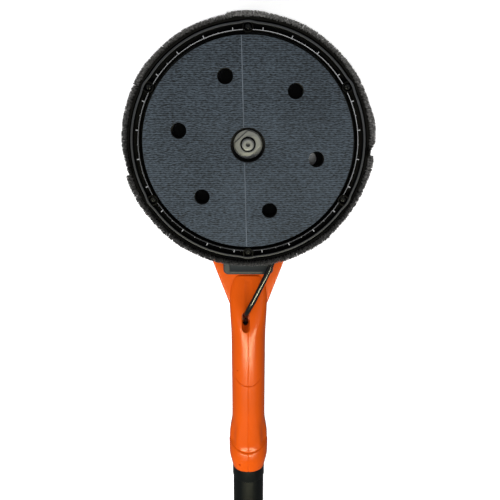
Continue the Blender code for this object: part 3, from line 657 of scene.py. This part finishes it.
piece("carrier_ring", bulged(joined(carrier_meshes, "carrier_ring")), TRENCH, "brush_skirt",
      ["brush_carrier"])
rim_profile = band(0.1199, 0.1177, -0.0012, -0.0030)
piece("carrier_rim", bulged(lathe("carrier_rim", rim_profile, ON_PAD, 240, 0.0005)), RIM,
      "brush_skirt")
lip_profile = [(0.1125, -0.0017), (0.1125, -0.0048), (0.1115, -0.0048)]
lip_meshes = [carved(lathe("carrier_lip", lip_profile, ON_PAD, 240, 0.0001), screw_wells)]
for number in range(48):
    if number % 8 != 4:
        top, end = (-0.0019, 0.1150) if number % 2 else (-0.0052, 0.1140)
        place = ON_PAD @ turn_z(number * 7.5)
        lip_meshes.append(box((0.1122, -0.00035, -0.0082), (end, 0.00035, top), place))
piece("carrier_lip", joined(lip_meshes, "carrier_lip"), LIP, "brush_skirt")


def cross_screws():
    """Pan heads with a cross recess, on shanks."""
    profile = [
        (0.0, -0.0040), (0.0018, -0.0041), (0.0028, -0.0047), (0.0033, -0.0058), (0.0033, -0.0076),
        (0.0019, -0.0076), (0.0019, -0.0290), (0.0, -0.0290),
    ]
    arms = [
        box((-0.0023, -0.00045, -0.0062), (0.0023, 0.00045, -0.0030), AT_ORIGIN),
        box((-0.00045, -0.0023, -0.0064), (0.00045, 0.0023, -0.0032), AT_ORIGIN),
    ]
    head = carved(lathe("screw", profile, AT_ORIGIN, 32, 0.0002), arms)
    heads = []
    for number, (x, y) in enumerate(SCREWS):
        copy = head.copy()
        copy.transform(ON_PAD @ Matrix.Translation((x, y, 0.0)) @ turn_z(23 + 31 * number))
        heads.append(copy)
    return joined(heads, "skirt_screws")


piece("skirt_screws", cross_screws(), BOLT, "head",
      [f"skirt_screw_{k}" for k in range(1, 7)])

COIL_STEPS = 18


def coil_spring(low, high, turns=5, wire=0.0004):
    """A helical spring that fills a box."""
    low, high = Vector(low), Vector(high)
    middle, size = (low + high) / 2, high - low
    reach = size.x / 2 - wire
    steps = turns * COIL_STEPS
    points = []
    for k in range(steps + 1):
        a, t = 2 * math.pi * k / COIL_STEPS, k / steps
        z = low.z + wire + (size.z - 2 * wire) * t
        points.append((middle.x + reach * math.cos(a), middle.y + reach * math.sin(a), z))
    return tube_along("float_coil", points, wire, 8)


for number in (1, 2, 3):
    low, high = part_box(f"float_spring_{number}")
    coil = piece(f"float_coil_{number}", coil_spring(low, high), STEEL, "head",
                 [f"float_spring_{number}"])
    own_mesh(coil)

# ---- Sanding pad ----

DUST_HOLES = circle(0.0718, 6, first=math.radians(108.3))
DUST_HOLE_R = 0.008


def drilled_disc(name, radius, middle_r, high, low, bevel):
    """A disc of the pad, with its middle hole and dust holes."""
    loops = [circle(radius, 180), circle(middle_r, 72)]
    loops += [circle(DUST_HOLE_R, 48, at) for at in DUST_HOLES]
    return slab(name, loops, low, high, ON_PAD, bevel, 2)


hook_disc = drilled_disc("hook_face_cloth", 0.1075, 0.0178, 0.0, -0.0015, 0.0004)
piece("hook_face_cloth", hook_disc, HOOK, "pad", ["hook_face"])
foam_disc = drilled_disc("foam_disc", 0.1070, 0.0178, -0.0015, -0.0120, 0.0008)
piece("foam_disc", foam_disc, FOAM, "pad", ["foam_pad"])
plate_disc = drilled_disc("backing_disc", 0.100, 0.0083, -0.0120, -0.0163, 0.0006)
piece("backing_disc", plate_disc, BLACK, "pad", ["backing_plate"])


def seam_point(y):
    """On the seam of the two hook sheets: it leans 1.3 degrees and passes left of the middle."""
    return PAD + Vector((-0.00385 - 0.0228 * y, y, -0.00035))


seams = []
for ends in ((0.1068, 0.0176), (-0.0178, -0.1070)):
    seams.append(tube_along("seam", [seam_point(y) for y in ends], 0.00065, 8))
SEAM = surface("seam_thread", (0.10, 0.12, 0.145), 0.85, 1500.0, 0.00010, 0.3)
piece("hook_seam", joined(seams, "hook_seam"), SEAM, "pad")


def washer_outline(radius, across, direction, count=96):
    """A circle with two flats."""
    outline = []
    for k in range(count):
        a = 2 * math.pi * k / count
        along, aside = radius * math.cos(a), radius * math.sin(a)
        aside = max(-across / 2, min(across / 2, aside))
        outline.append((along * math.cos(direction) - aside * math.sin(direction),
                        along * math.sin(direction) + aside * math.cos(direction)))
    return outline


washer = joined([
    slab("washer_top", [washer_outline(0.0138, 0.021, math.radians(43)), circle(0.0079, 48)],
         -0.0098, -0.0080, ON_PAD, 0.0004),
    slab("washer_base", [circle(0.0150, 96), circle(0.0047, 40)], -0.0119, -0.0097, ON_PAD, 0.0004),
], "clamp_washer_fine")
piece("clamp_washer_fine", washer, STEEL, "pad", ["clamp_washer"])
bolt_profile = [
    (0.0, -0.0036), (0.0050, -0.0036), (0.0063, -0.0044), (0.0063, -0.0079), (0.0040, -0.0079),
    (0.0040, -0.0240), (0.0, -0.0240),
]
socket = rod(0.0026, -0.0070, -0.0020, ON_PAD, count=6)
bolt = carved(lathe("bolt", bolt_profile, ON_PAD, 64, 0.0004), [socket])
piece("centre_bolt_fine", bolt, STEEL, "pad", ["centre_bolt"])
# A near-black ring in the gap between the centre bolt and the washer: a painted shadow.
bolt_shade_profile = band(0.0078, 0.0064, -0.0088, -0.0097)
lathed("bolt_shadow_ring", bolt_shade_profile, ON_PAD, 64, 0.0002, SHADE_BLACK, "pad")

# ---- Head back: housing, dust outlet, gearbox, motor ----

housing_profile = [
    (0.1182, -0.0200), (0.1182, -0.0300), (0.0220, -0.0300),
    (0.0220, -0.0270), (0.1105, -0.0270), (0.1105, -0.0200),
]
OUTLET_OUT = 0.088
housing_tools = [rod(0.0133, -0.04, -0.02, ON_PAD, (0.0, OUTLET_OUT), 64)]
housing_meshes = [carved(lathe("housing", housing_profile, ON_PAD, 200, 0.0012), housing_tools)]
for number in range(24):
    reach = 0.0670 if 4 <= number <= 7 else 0.1160  # short where the dust outlet is
    place = ON_PAD @ turn_z(number * 15 + 7.5)
    housing_meshes.append(box((0.0450, -0.0011, -0.0322), (reach, 0.0011, -0.0295), place))
hoop = band(0.1165, 0.1140, -0.0295, -0.0325)
housing_meshes.append(lathe("hoop", hoop, ON_PAD, 200, 0.0006))
piece("housing_back", joined(housing_meshes, "housing_back"), DARK, "head",
      ["brush_housing"])
# A near-white disc seen through one dust hole only: painted light, standing for the lit patch down
# that hole.
light_patch_place = ON_PAD @ Matrix.Translation((0.0645, -0.0160, 0.0))
light_patch_profile = [
    (0.0, -0.0170), (0.0066, -0.0170), (0.0078, -0.0178), (0.0078, -0.0270), (0.0, -0.0270),
]
lathed("chamber_light_patch", light_patch_profile, light_patch_place, 48, 0.0003, LIT_PATCH, "head")

outlet_profile = [
    (0.0190, -0.0300), (0.0190, -0.0335), (0.0163, -0.0350), (0.0160, -0.0540), (0.0166, -0.0550),
    (0.0166, -0.0575), (0.0158, -0.0600), (0.0135, -0.0600), (0.0135, -0.0300),
]
outlet_place = ON_PAD @ Matrix.Translation((0.0, OUTLET_OUT, 0.0))
lathed("dust_spigot", outlet_profile, outlet_place, 96, 0.0006, DARK, "head",
       ["dust_outlet"])

gearbox_profile = [
    (0.0460, -0.0300), (0.0460, -0.0345), (0.0400, -0.0368), (0.0400, -0.0470), (0.0388, -0.0476),
    (0.0388, -0.0488), (0.0400, -0.0494), (0.0400, -0.0640), (0.0365, -0.0640), (0.0365, -0.0428),
    (0.0158, -0.0428), (0.0158, -0.0300),
]
lathed("gearbox_shell", gearbox_profile, ON_PAD, 128, 0.0008, CAST, "head",
       ["gear_housing"])
motor_profile = [
    (0.0400, -0.0643), (0.0400, -0.1150), (0.0393, -0.1156), (0.0393, -0.1172), (0.0400, -0.1178),
    (0.0400, -0.1397), (0.0366, -0.1397), (0.0366, -0.0740), (0.0113, -0.0740), (0.0113, -0.0643),
]
vents = []
for number in range(10):
    place = ON_PAD @ turn_z(18 + 18 * number)
    vents.append(box((-0.05, -0.0016, -0.1360), (0.05, 0.0016, -0.1230), place))
motor_shell = carved(lathe("motor_shell", motor_profile, ON_PAD, 160, 0.0006), vents)
piece("motor_shell", motor_shell, DARK, "head", ["motor_housing"])
cap_profile = [
    (0.0, -0.1500), (0.0113, -0.1500), (0.0113, -0.1422), (0.0140, -0.1422), (0.0140, -0.1480),
    (0.0366, -0.1480), (0.0366, -0.1400), (0.0400, -0.1400), (0.0400, -0.1500), (0.0360, -0.1550),
    (0.0, -0.1550),
]
lathed("motor_cap", cap_profile, ON_PAD, 128, 0.0006, BLACK, "head",
       ["motor_end_cap"])

# ---- Motor cable, in two curved lengths and a straight one inside the pole ----


def pole_point(x, back, height):
    """A place given from the pivot, as (x, back, height)."""
    return PIVOT + Vector((x, -back, height))


CABLE_R = 0.00325
GLAND_TURN = math.radians(-25)
GLAND_Z = -0.0370
gland_out = Vector((math.cos(GLAND_TURN), math.sin(GLAND_TURN), 0.0))
gland_profile = [
    (0.0056, 0.0063), (0.0056, 0.0040), (0.0050, 0.0034), (0.0056, 0.0028), (0.0056, 0.0),
    (0.0036, 0.0), (0.0036, 0.0063),
]
gland_place = Matrix.Translation(PIVOT + gland_out * 0.0403 + Vector((0.0, 0.0, GLAND_Z)))
gland_place @= turned_by(0.0, QUARTER, GLAND_TURN)
lathed("motor_gland_fine", gland_profile, gland_place, 48, 0.0004, RUBBER, "head",
       ["motor_gland"])

CLIP = (0.0544, 0.018)
# Each point is (x, back, height over the pivot).
head_length = [
    (gland_out.x * 0.0400, -gland_out.y * 0.0400, GLAND_Z),
    (gland_out.x * 0.0475, -gland_out.y * 0.0475, GLAND_Z),
    (0.0515, 0.0195, -0.0325), (*CLIP, -0.0200), (*CLIP, 0.0),
]
neck_length = [
    (*CLIP, -0.0010), (0.0543, 0.0185, 0.0060), (0.0540, 0.0215, 0.0145),
    (0.0505, 0.0400, 0.0215), (0.0440, 0.0720, 0.0235), (0.0362, 0.1100, 0.0262),
    (0.0278, 0.1397, 0.0295), (0.0180, 0.1626, 0.0295), (0.0074, 0.1866, 0.0266),
    (0.0000, 0.2020, 0.0232), (-0.0026, 0.2100, 0.0180), (-0.0033, 0.2170, 0.0120),
    (-0.0030, 0.2380, 0.0050),
]
pole_length = [
    (-0.0034, 0.2220, 0.0130), (-0.0030, 0.2380, 0.0050), (0.0, 0.2650, 0.0005),
    (0.0, 0.3100, 0.0), (0.0, 0.9300, 0.0),
]


def cable(name, route, per_span, body=None, replaced=()):
    """A length of the cable through the points of its route."""
    mesh = tube_along(name, smooth_path([pole_point(*p) for p in route], per_span), CABLE_R)
    return piece(name, mesh, RUBBER, body, replaced)


first = cable("cable_head", head_length, 8, replaced=["motor_cable"])
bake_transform(first)
second = cable("cable_neck", neck_length, 8)
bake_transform(second)
cable("cable_inside", pole_length, 4, "pole")

# ---- Gimbal ring, pins and bolts ----

ring_profile = band(0.0520, 0.0435, 0.008, -0.008)
ring_meshes = [lathe("gimbal_hoop", ring_profile, ON_PIVOT, 144, 0.0015)]
for sign in (-1, 1):
    low, high = sorted((sign * 0.0480, sign * 0.0594))
    boss = band(0.0100, 0.0040, high, low)
    ring_meshes.append(lathe("gimbal_boss", boss, ALONG_X, 48, 0.0008))
piece("gimbal_ring_fine", joined(ring_meshes, "gimbal_ring_fine"), CAST, "gimbal",
      ["gimbal_ring"])
clip_profile = band(0.0052, 0.0034, 0.0040, -0.0040)
lathed("cable_clip_fine", clip_profile, Matrix.Translation(pole_point(*CLIP, 0.0)), 48, 0.0005,
       RUBBER, "gimbal", ["cable_clip"])
for side, sign in SIDES:
    profile = [
        (0.0, sign * 0.0450), (0.0040, sign * 0.0450), (0.0040, sign * 0.0723),
        (0.0085, sign * 0.0723), (0.0085, sign * 0.0750), (0.0070, sign * 0.0765),
        (0.0, sign * 0.0765),
    ]
    hexagon = rod(0.0030, *sorted((sign * 0.0740, sign * 0.0790)), ALONG_X, count=6)
    bolt = carved(lathe("pivot_bolt", profile, ALONG_X, 64, 0.0005), [hexagon])
    piece(f"pivot_bolt_{side}_fine", bolt, STEEL, "pole", [f"pivot_bolt_{side}"])

# ---- Fork and neck ----

NECK_END = 0.4265
# Back from the pivot, half width, height above the axis, height below it.
NECK = [
    (0.1622, 0.0130, 0.0090, 0.0090), (0.1630, 0.0158, 0.0104, 0.0100),
    (0.1660, 0.0184, 0.0110, 0.0109), (0.1720, 0.0206, 0.0120, 0.0123),
    (0.1840, 0.0228, 0.0139, 0.0143), (0.1950, 0.0232, 0.0162, 0.0166),
    (0.2100, 0.0227, 0.0190, 0.0192), (0.2220, 0.0222, 0.0208, 0.0208),
    (0.2300, 0.0218, 0.0216, 0.0214), (0.2400, 0.0214, 0.0219, 0.0216),
    (0.2600, 0.0212, 0.0218, 0.0216), (0.3500, 0.0210, 0.0217, 0.0215),
    (0.3600, 0.0214, 0.0217, 0.0218), (0.3700, 0.0230, 0.0217, 0.0230),
    (0.3800, 0.0243, 0.0217, 0.0242), (0.3900, 0.0245, 0.0218, 0.0246),
    (0.4000, 0.0245, 0.0232, 0.0246), (0.4080, 0.0243, 0.0239, 0.0244),
    (0.4150, 0.0235, 0.0236, 0.0236), (0.4210, 0.0222, 0.0226, 0.0224),
    (0.4250, 0.0214, 0.0217, 0.0215), (NECK_END, 0.0209, 0.0210, 0.0209),
]


def section_at(back):
    """The neck's half width and heights at a distance back, smoothly between the sections."""
    k = max(i for i, row in enumerate(NECK[:-1]) if row[0] <= back or i == 0)
    rows = [NECK[max(k - 1, 0)], NECK[k], NECK[k + 1], NECK[min(k + 2, len(NECK) - 1)]]
    t = (back - rows[1][0]) / (rows[2][0] - rows[1][0])
    values = []
    for column in range(1, 4):
        a, b, c, d = (row[column] for row in rows)
        span = rows[2][0] - rows[1][0]
        start = (c - a) / max(1e-6, rows[2][0] - rows[0][0]) * span
        end = (d - b) / max(1e-6, rows[3][0] - rows[1][0]) * span
        values.append(
            (2 * t**3 - 3 * t**2 + 1) * b + (t**3 - 2 * t**2 + t) * start
            + (3 * t**2 - 2 * t**3) * c + (t**3 - t**2) * end
        )
    return values


GROOVE_BACK = 0.3040
LIP_BACK = 0.3970


def neck_relief(back, angle):
    """How far the neck's skin stands off its section: grooves, scoops, the sleeve's lip, marks."""
    across = abs(math.cos(angle))
    above = math.sin(angle) > 0
    groove = GROOVE_BACK - 0.015 * across**2 if above else GROOVE_BACK
    relief = -0.0010 * swell(back, groove, 0.0009) * (1 - rise(across, 0.72, 0.86))
    if above:
        lip = LIP_BACK - 0.009 * across**2
        relief -= 0.0005 * swell(back, lip, 0.0009)
        relief += 0.0005 * rise(back, lip, lip + 0.002) * (1 - rise(back, 0.408, 0.420))
        scoop = swell(math.degrees(math.asin(min(1.0, across))), 56, 24)
        deep = rise(back, 0.352, 0.376) * (1 - rise(back, lip - 0.006, lip + 0.001))
        relief -= 0.0020 * scoop * deep
    seam = swell(math.cos(angle) * 0.0218, 0.0, 0.00045)
    relief -= 0.0005 * seam * rise(back, 0.166, 0.170)
    return relief


def neck_barrel():
    """The barrel from the fork to its end over the tube, as one closed skin."""
    stations = []
    back = NECK[0][0]
    while back < NECK_END - 1e-6:
        stations.append(back)
        # Rings lie closer at the groove, at the sleeve's lip and at both ends.
        fine = min(abs(back - 0.300), abs(back - 0.392)) < 0.006
        back += 0.0004 if fine or back < 0.168 or back > 0.424 else 0.0014
    stations.append(NECK_END)
    angles = [2 * math.pi * k / 120 for k in range(120)]
    for middle in (math.pi / 2, 3 * math.pi / 2):
        angles += [middle + math.radians(a) for a in (-2.0, -1.2, -0.6, 0.6, 1.2, 2.0)]
    angles = sorted(set(round(a, 6) for a in angles))
    work = bmesh.new()
    rings = []
    for back in stations:
        half_w, above, below = section_at(back)
        power = 2 / (5.0 - 2.75 * rise(back, 0.172, 0.240))
        ring = []
        for a in angles:
            c, s = math.cos(a), math.sin(a)
            height = above if s >= 0 else below
            x = half_w * math.copysign(abs(c) ** power, c)
            z = height * math.copysign(abs(s) ** power, s)
            relief = neck_relief(back, a)
            ring.append(work.verts.new((x + relief * c, -back, z + relief * s)))
        rings.append(ring)
    return skin_of(work, rings, "neck_barrel", ON_PIVOT)


def slot_tool():
    """Cutter of the cable's slot: a rounded slot whose far end slopes up to the skin."""
    levels = [(0.0300, 0.2065, 0.2345), (0.0205, 0.2065, 0.2315), (0.0110, 0.2065, 0.2215)]
    work = bmesh.new()
    rings = []
    for height, start, end in levels:
        outline = round_corners([
            (0.0020, -start, 0.00485), (-0.0080, -start, 0.00485),
            (-0.0080, -end, 0.00485), (0.0020, -end, 0.00485),
        ], 8)
        rings.append([work.verts.new((x, y, height)) for x, y in outline])
    return skin_of(work, rings, "slot_tool", ON_PIVOT)


def fork_outline():
    """The fork seen from above: two arms that close into the neck."""
    slope = (0.072 - 0.0243) / (0.205 - 0.062)
    inner_crotch = 0.060 - slope * (0.130 - 0.062)
    right = [
        (0.060, 0.014, 0.003), (0.072, 0.014, 0.0075), (0.072, -0.062, 0.030),
        (0.0400, -0.1536, 0.020), (0.0225, -0.2010, 0.020), (0.0190, -0.222, 0.004),
    ]
    inner = [(inner_crotch, -0.130, 0.010), (0.060, -0.062, 0.030)]
    left = [(-x, y, r) for x, y, r in reversed(right)]
    return round_corners(right + left + [(-x, y, r) for x, y, r in reversed(inner)] + inner)


def dimple(back, x, height, radius):
    """Cutter of a small ejector mark in the neck's skin."""
    work = bmesh.new()
    bmesh.ops.create_icosphere(work, subdivisions=3, radius=radius)
    return mesh_of(work, "dimple", Matrix.Translation(pole_point(x, back, height)))


dimples = [dimple(0.2837, -0.0140, 0.0178, 0.0014), dimple(0.4155, -0.0113, 0.0216, 0.0016),
           dimple(0.2030, -0.0178, 0.0125, 0.0012)]
neck = carved(neck_barrel(), [slot_tool(), *dimples])
fork = slab("fork_plate", [fork_outline()], -0.014, 0.009, ON_PIVOT, 0.0022, 4)
fork = carved(fork, [box((-0.0160, -0.30, -0.020), (0.0160, -0.1720, 0.020), ON_PIVOT)])
arm_pads = []
for sign in (-1, 1):
    low, high = sorted((sign * 0.0700, sign * 0.0722))
    arm_pads.append(lathe("arm_pad", band(0.0108, 0.0042, high, low), ALONG_X, 48, 0.0006))
piece("fork_and_neck", joined([neck, fork, *arm_pads], "fork_and_neck"), ORANGE, "pole",
      ["neck_shell_left", "neck_shell_right"], 34)


def bracket():
    """The cross bracket: a dished front, rounded lower corners and a turned-down edge."""
    outline = round_corners([
        (0.0294, -0.1300, 0.003), (-0.0294, -0.1300, 0.003),
        (-0.0294, -0.1565, 0.006), (0.0294, -0.1565, 0.006),
    ])
    body = slab("bracket", [outline], 0.0093, 0.0250, ON_PIVOT, 0.0024, 4)
    dish_profile = [(0.0, 0.05), (0.030, 0.05), (0.030, -0.05), (0.0, -0.05)]
    dish = lathe("dish", dish_profile, ALONG_X, 96, 0.0)
    dish.transform(Matrix.Translation((0.0, -0.1400, 0.0522)))
    narrower = Matrix.Diagonal((0.44, 1.0, 1.0, 1.0))
    dish.transform(ON_PIVOT @ narrower @ Matrix.Translation(-PIVOT))
    return carved(body, [dish], 0.0008)


piece("bracket_fine", bracket(), BRACKET, "pole", ["cross_bracket"])

# ---- Pole ----

front_tube_profile = band(0.0200, 0.0182, 0.8000, 0.3640)
sleeve_profile = band(0.0208, 0.0199, 0.4430, 0.4150)
front_meshes = [
    lathe("front_tube", front_tube_profile, ALONG_POLE, 128, 0.0004),
    lathe("tube_sleeve", sleeve_profile, ALONG_POLE, 128, 0.0005),
]
piece("front_tube_fine", joined(front_meshes, "front_tube_fine"), TUBE, "pole",
      ["front_tube"])


def grip_profile():
    """Foam grip: a rounded sleeve with finger waves."""
    front, rear, steps = 0.520, 0.760, 96
    outline = [(0.0203, front), (0.0203, rear)]
    for step in range(steps + 1):
        back = rear - 0.240 * step / steps
        ends = rise(min(back - front, rear - back), 0.0, 0.007)
        wave = 0.0006 * math.cos((back - front) * 2 * math.pi / 0.024)
        outline.append((0.0222 + (0.0032 + wave) * ends, back))
    return outline[::-1]


foam_grip = piece("foam_grip_fine", lathe("foam_grip_fine", grip_profile(), ALONG_POLE, 128, 0.0),
                  FOAM, "pole", ["foam_grip"], 50)
collet_profile = band(0.0200, 0.0181, 0.8240, 0.8003)
lathed("collet_fine", collet_profile, ALONG_POLE, 96, 0.0003, BLACK, "pole",
       ["clamp_collet"])


def ribbed_collar():
    """Twist lock: an orange collar whose waist carries grip ribs."""
    profile = [
        (0.0245, 0.830), (0.0272, 0.826), (0.0272, 0.822), (0.0262, 0.820), (0.0262, 0.789),
        (0.0272, 0.787), (0.0272, 0.782), (0.0245, 0.775), (0.0203, 0.775),
        (0.0203, 0.8245), (0.0181, 0.8245), (0.0181, 0.830),
    ]
    meshes = [lathe("lock_ring", profile, ALONG_POLE, 128, 0.0006)]
    standing = turned_by(0.0, -QUARTER, 0.0)
    mirrored = Matrix.Diagonal((1.0, 1.0, -1.0, 1.0))
    outline = round_corners([
        (0.7885, 0.0009, 0.0008), (0.7885, -0.0009, 0.0008),
        (0.8205, -0.0009, 0.0008), (0.8205, 0.0009, 0.0008),
    ], 3)
    for number in range(30):
        rib = slab("rib", [outline], 0.0255, 0.0272, AT_ORIGIN)
        rib.transform(ALONG_POLE @ turn_z(number * 12) @ standing @ mirrored)
        meshes.append(rib)
    return joined(meshes, "lock_ring")


piece("lock_collar_fine", ribbed_collar(), ORANGE, "lock_collar",
      ["lock_collar"])
rear_tube_profile = band(0.0178, 0.0158, 0.9900, 0.4000)
lathed("rear_tube_fine", rear_tube_profile, ALONG_POLE, 128, 0.0004, TUBE, "rear_pole",
       ["rear_tube"])

# ---- Rear handle ----

HANDLE_HALF = 0.0225
CORD_GLAND_END = 1.195
CORD_PLACE = Matrix.Translation((0.0, 0.0, -0.0640)) @ ALONG_POLE
BUTTON_PLACE = Matrix.Translation((0.0, -1.1500, 0.0035)) @ ALONG_X
handle_outline = round_corners([
    (0.940, 0.0240, 0.0075), (1.030, 0.0240, 0.030), (1.062, 0.0380, 0.030),
    (1.170, 0.0380, 0.018), (1.170, -0.0800, 0.014), (1.076, -0.0800, 0.016),
    (1.000, -0.0240, 0.040), (0.940, -0.0240, 0.0075),
], 10)
finger_opening = round_corners([
    (1.080, 0.0160, 0.012), (1.132, 0.0160, 0.012),
    (1.132, -0.0600, 0.012), (1.080, -0.0600, 0.012),
], 10)


def handle_tools():
    """What is cut from the handle: tube socket, dial slot, trigger pocket, holes and grip lines."""
    tools = [
        rod(0.0181, 0.930, 0.9925, ALONG_POLE, count=64),
        box((-0.0046, -1.0275, 0.010), (0.0046, -0.9965, 0.040), ON_PIVOT),
        box((-0.0069, -1.1440, -0.0428), (0.0069, -1.1280, 0.0028), ON_PIVOT),
        rod(0.0066, 1.150, 1.180, CORD_PLACE, count=40),
    ]
    for row in range(12):
        z = -0.0640 + 0.0062 * row
        tools.append(box((-0.0150, -1.1720, z - 0.0008), (0.0150, -1.1692, z + 0.0008), ON_PIVOT))
    tools.append(rod(0.0054, 0.0100, 0.0300, BUTTON_PLACE, count=40))
    return tools


handle = slab("handle", [handle_outline, finger_opening], -HANDLE_HALF, HANDLE_HALF, SIDE_ON,
              0.006, 5)
handle = carved(handle, handle_tools())


def half_of(mesh, name, sign):
    """The part of a mesh on one side of the seam, closed."""
    work = bmesh.new()
    work.from_mesh(mesh)
    cut = bmesh.ops.bisect_plane(
        work, geom=work.verts[:] + work.edges[:] + work.faces[:], dist=1e-7,
        plane_co=(sign * 0.0002, 0.0, 0.0), plane_no=(sign, 0.0, 0.0), clear_inner=True,
    )
    rim = [e for e in cut["geom_cut"] if isinstance(e, bmesh.types.BMEdge)]
    bmesh.ops.triangle_fill(work, edges=rim, use_beauty=True, normal=(-sign, 0.0, 0.0))
    return mesh_of(work, name)


for side, sign in SIDES:
    shell = half_of(handle, f"handle_{side}", sign)
    piece(f"handle_half_{side}", shell, DARK, "rear_pole",
          [f"handle_shell_{side}"])
trigger_outline = round_corners([
    (1.1205, 0.0020, 0.004), (1.1390, 0.0020, 0.001), (1.1390, -0.0420, 0.001),
    (1.1185, -0.0420, 0.006), (1.1235, -0.0200, 0.030),
])
trigger = slab("trigger_fine", [trigger_outline], -0.0065, 0.0065, SIDE_ON, 0.0009)
piece("trigger_fine", trigger, BLACK, "trigger", ["trigger"])
button_profile = [
    (0.0, 0.0100), (0.0050, 0.0100), (0.0050, 0.0250), (0.0040, 0.0262), (0.0, 0.0262),
]
lathed("lock_button_fine", button_profile, BUTTON_PLACE, 64, 0.0004, RUBBER, "lock_button",
       ["lock_button"])
dial_place = Matrix.Translation((0.0, -1.012, 0.0125)) @ ALONG_X
dial_outline = []
for k in range(180):
    a = 2 * math.pi * k / 180
    r = 0.0145 - 0.0008 * (0.5 - 0.5 * math.cos(a * 30)) ** 3
    dial_outline.append((r * math.cos(a), r * math.sin(a)))
dial = slab("speed_dial_fine", [dial_outline], -0.0042, 0.0042, dial_place, 0.0004, 2)
piece("speed_dial_fine", dial, ORANGE, "speed_dial", ["speed_dial"])
cord_profile = [
    (0.0048, CORD_GLAND_END), (0.0054, 1.1880), (0.0050, 1.1872), (0.0056, 1.1840),
    (0.0052, 1.1832), (0.0059, 1.1790), (0.0055, 1.1782), (0.0062, 1.1735), (0.0062, 1.1520),
    (0.0036, 1.1520), (0.0036, CORD_GLAND_END),
]
lathed("cord_gland_fine", cord_profile, CORD_PLACE, 64, 0.0003, RUBBER, "rear_pole",
       ["cord_gland"])

# ---- Materials of the CAD nodes that stay ----

KEPT = {
    STEEL: [
        "output_spindle", "spindle_bearing", "ring_gear", "motor_shaft", "front_bearing",
        "rear_bearing", "roll_pin_front", "roll_pin_rear", "planet_gear_1", "planet_gear_2",
        "planet_gear_3",
    ],
    IRON: ["stator"],
    COPPER: ["armature_core", "commutator"],
    CARBON: ["carbon_brush_left", "carbon_brush_right"],
    BLACK: ["cooling_fan", "switch_module"],
}
for look, names in KEPT.items():
    for name in names:
        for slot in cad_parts[name].material_slots:
            slot.material = look

# ---- Floor ----

FLOOR_HALF = 12
floor_mesh = bpy.data.meshes.new("floor")
floor_mesh.from_pydata(
    [(x * FLOOR_HALF, y * FLOOR_HALF, 0) for x, y in ((-1, -1), (1, -1), (1, 1), (-1, 1))],
    [], [(0, 1, 2, 3)],
)
floor_look, _ = new_look("pale_floor", {
    "Base Color": (0.93, 0.93, 0.93, 1.0), "Roughness": 0.9,
    "Emission Color": (1.0, 1.0, 1.0, 1.0), "Emission Strength": 0.62,
})
floor_mesh.materials.append(floor_look)
floor = placed("floor", floor_mesh)
floor.visible_diffuse = False
floor.visible_glossy = False
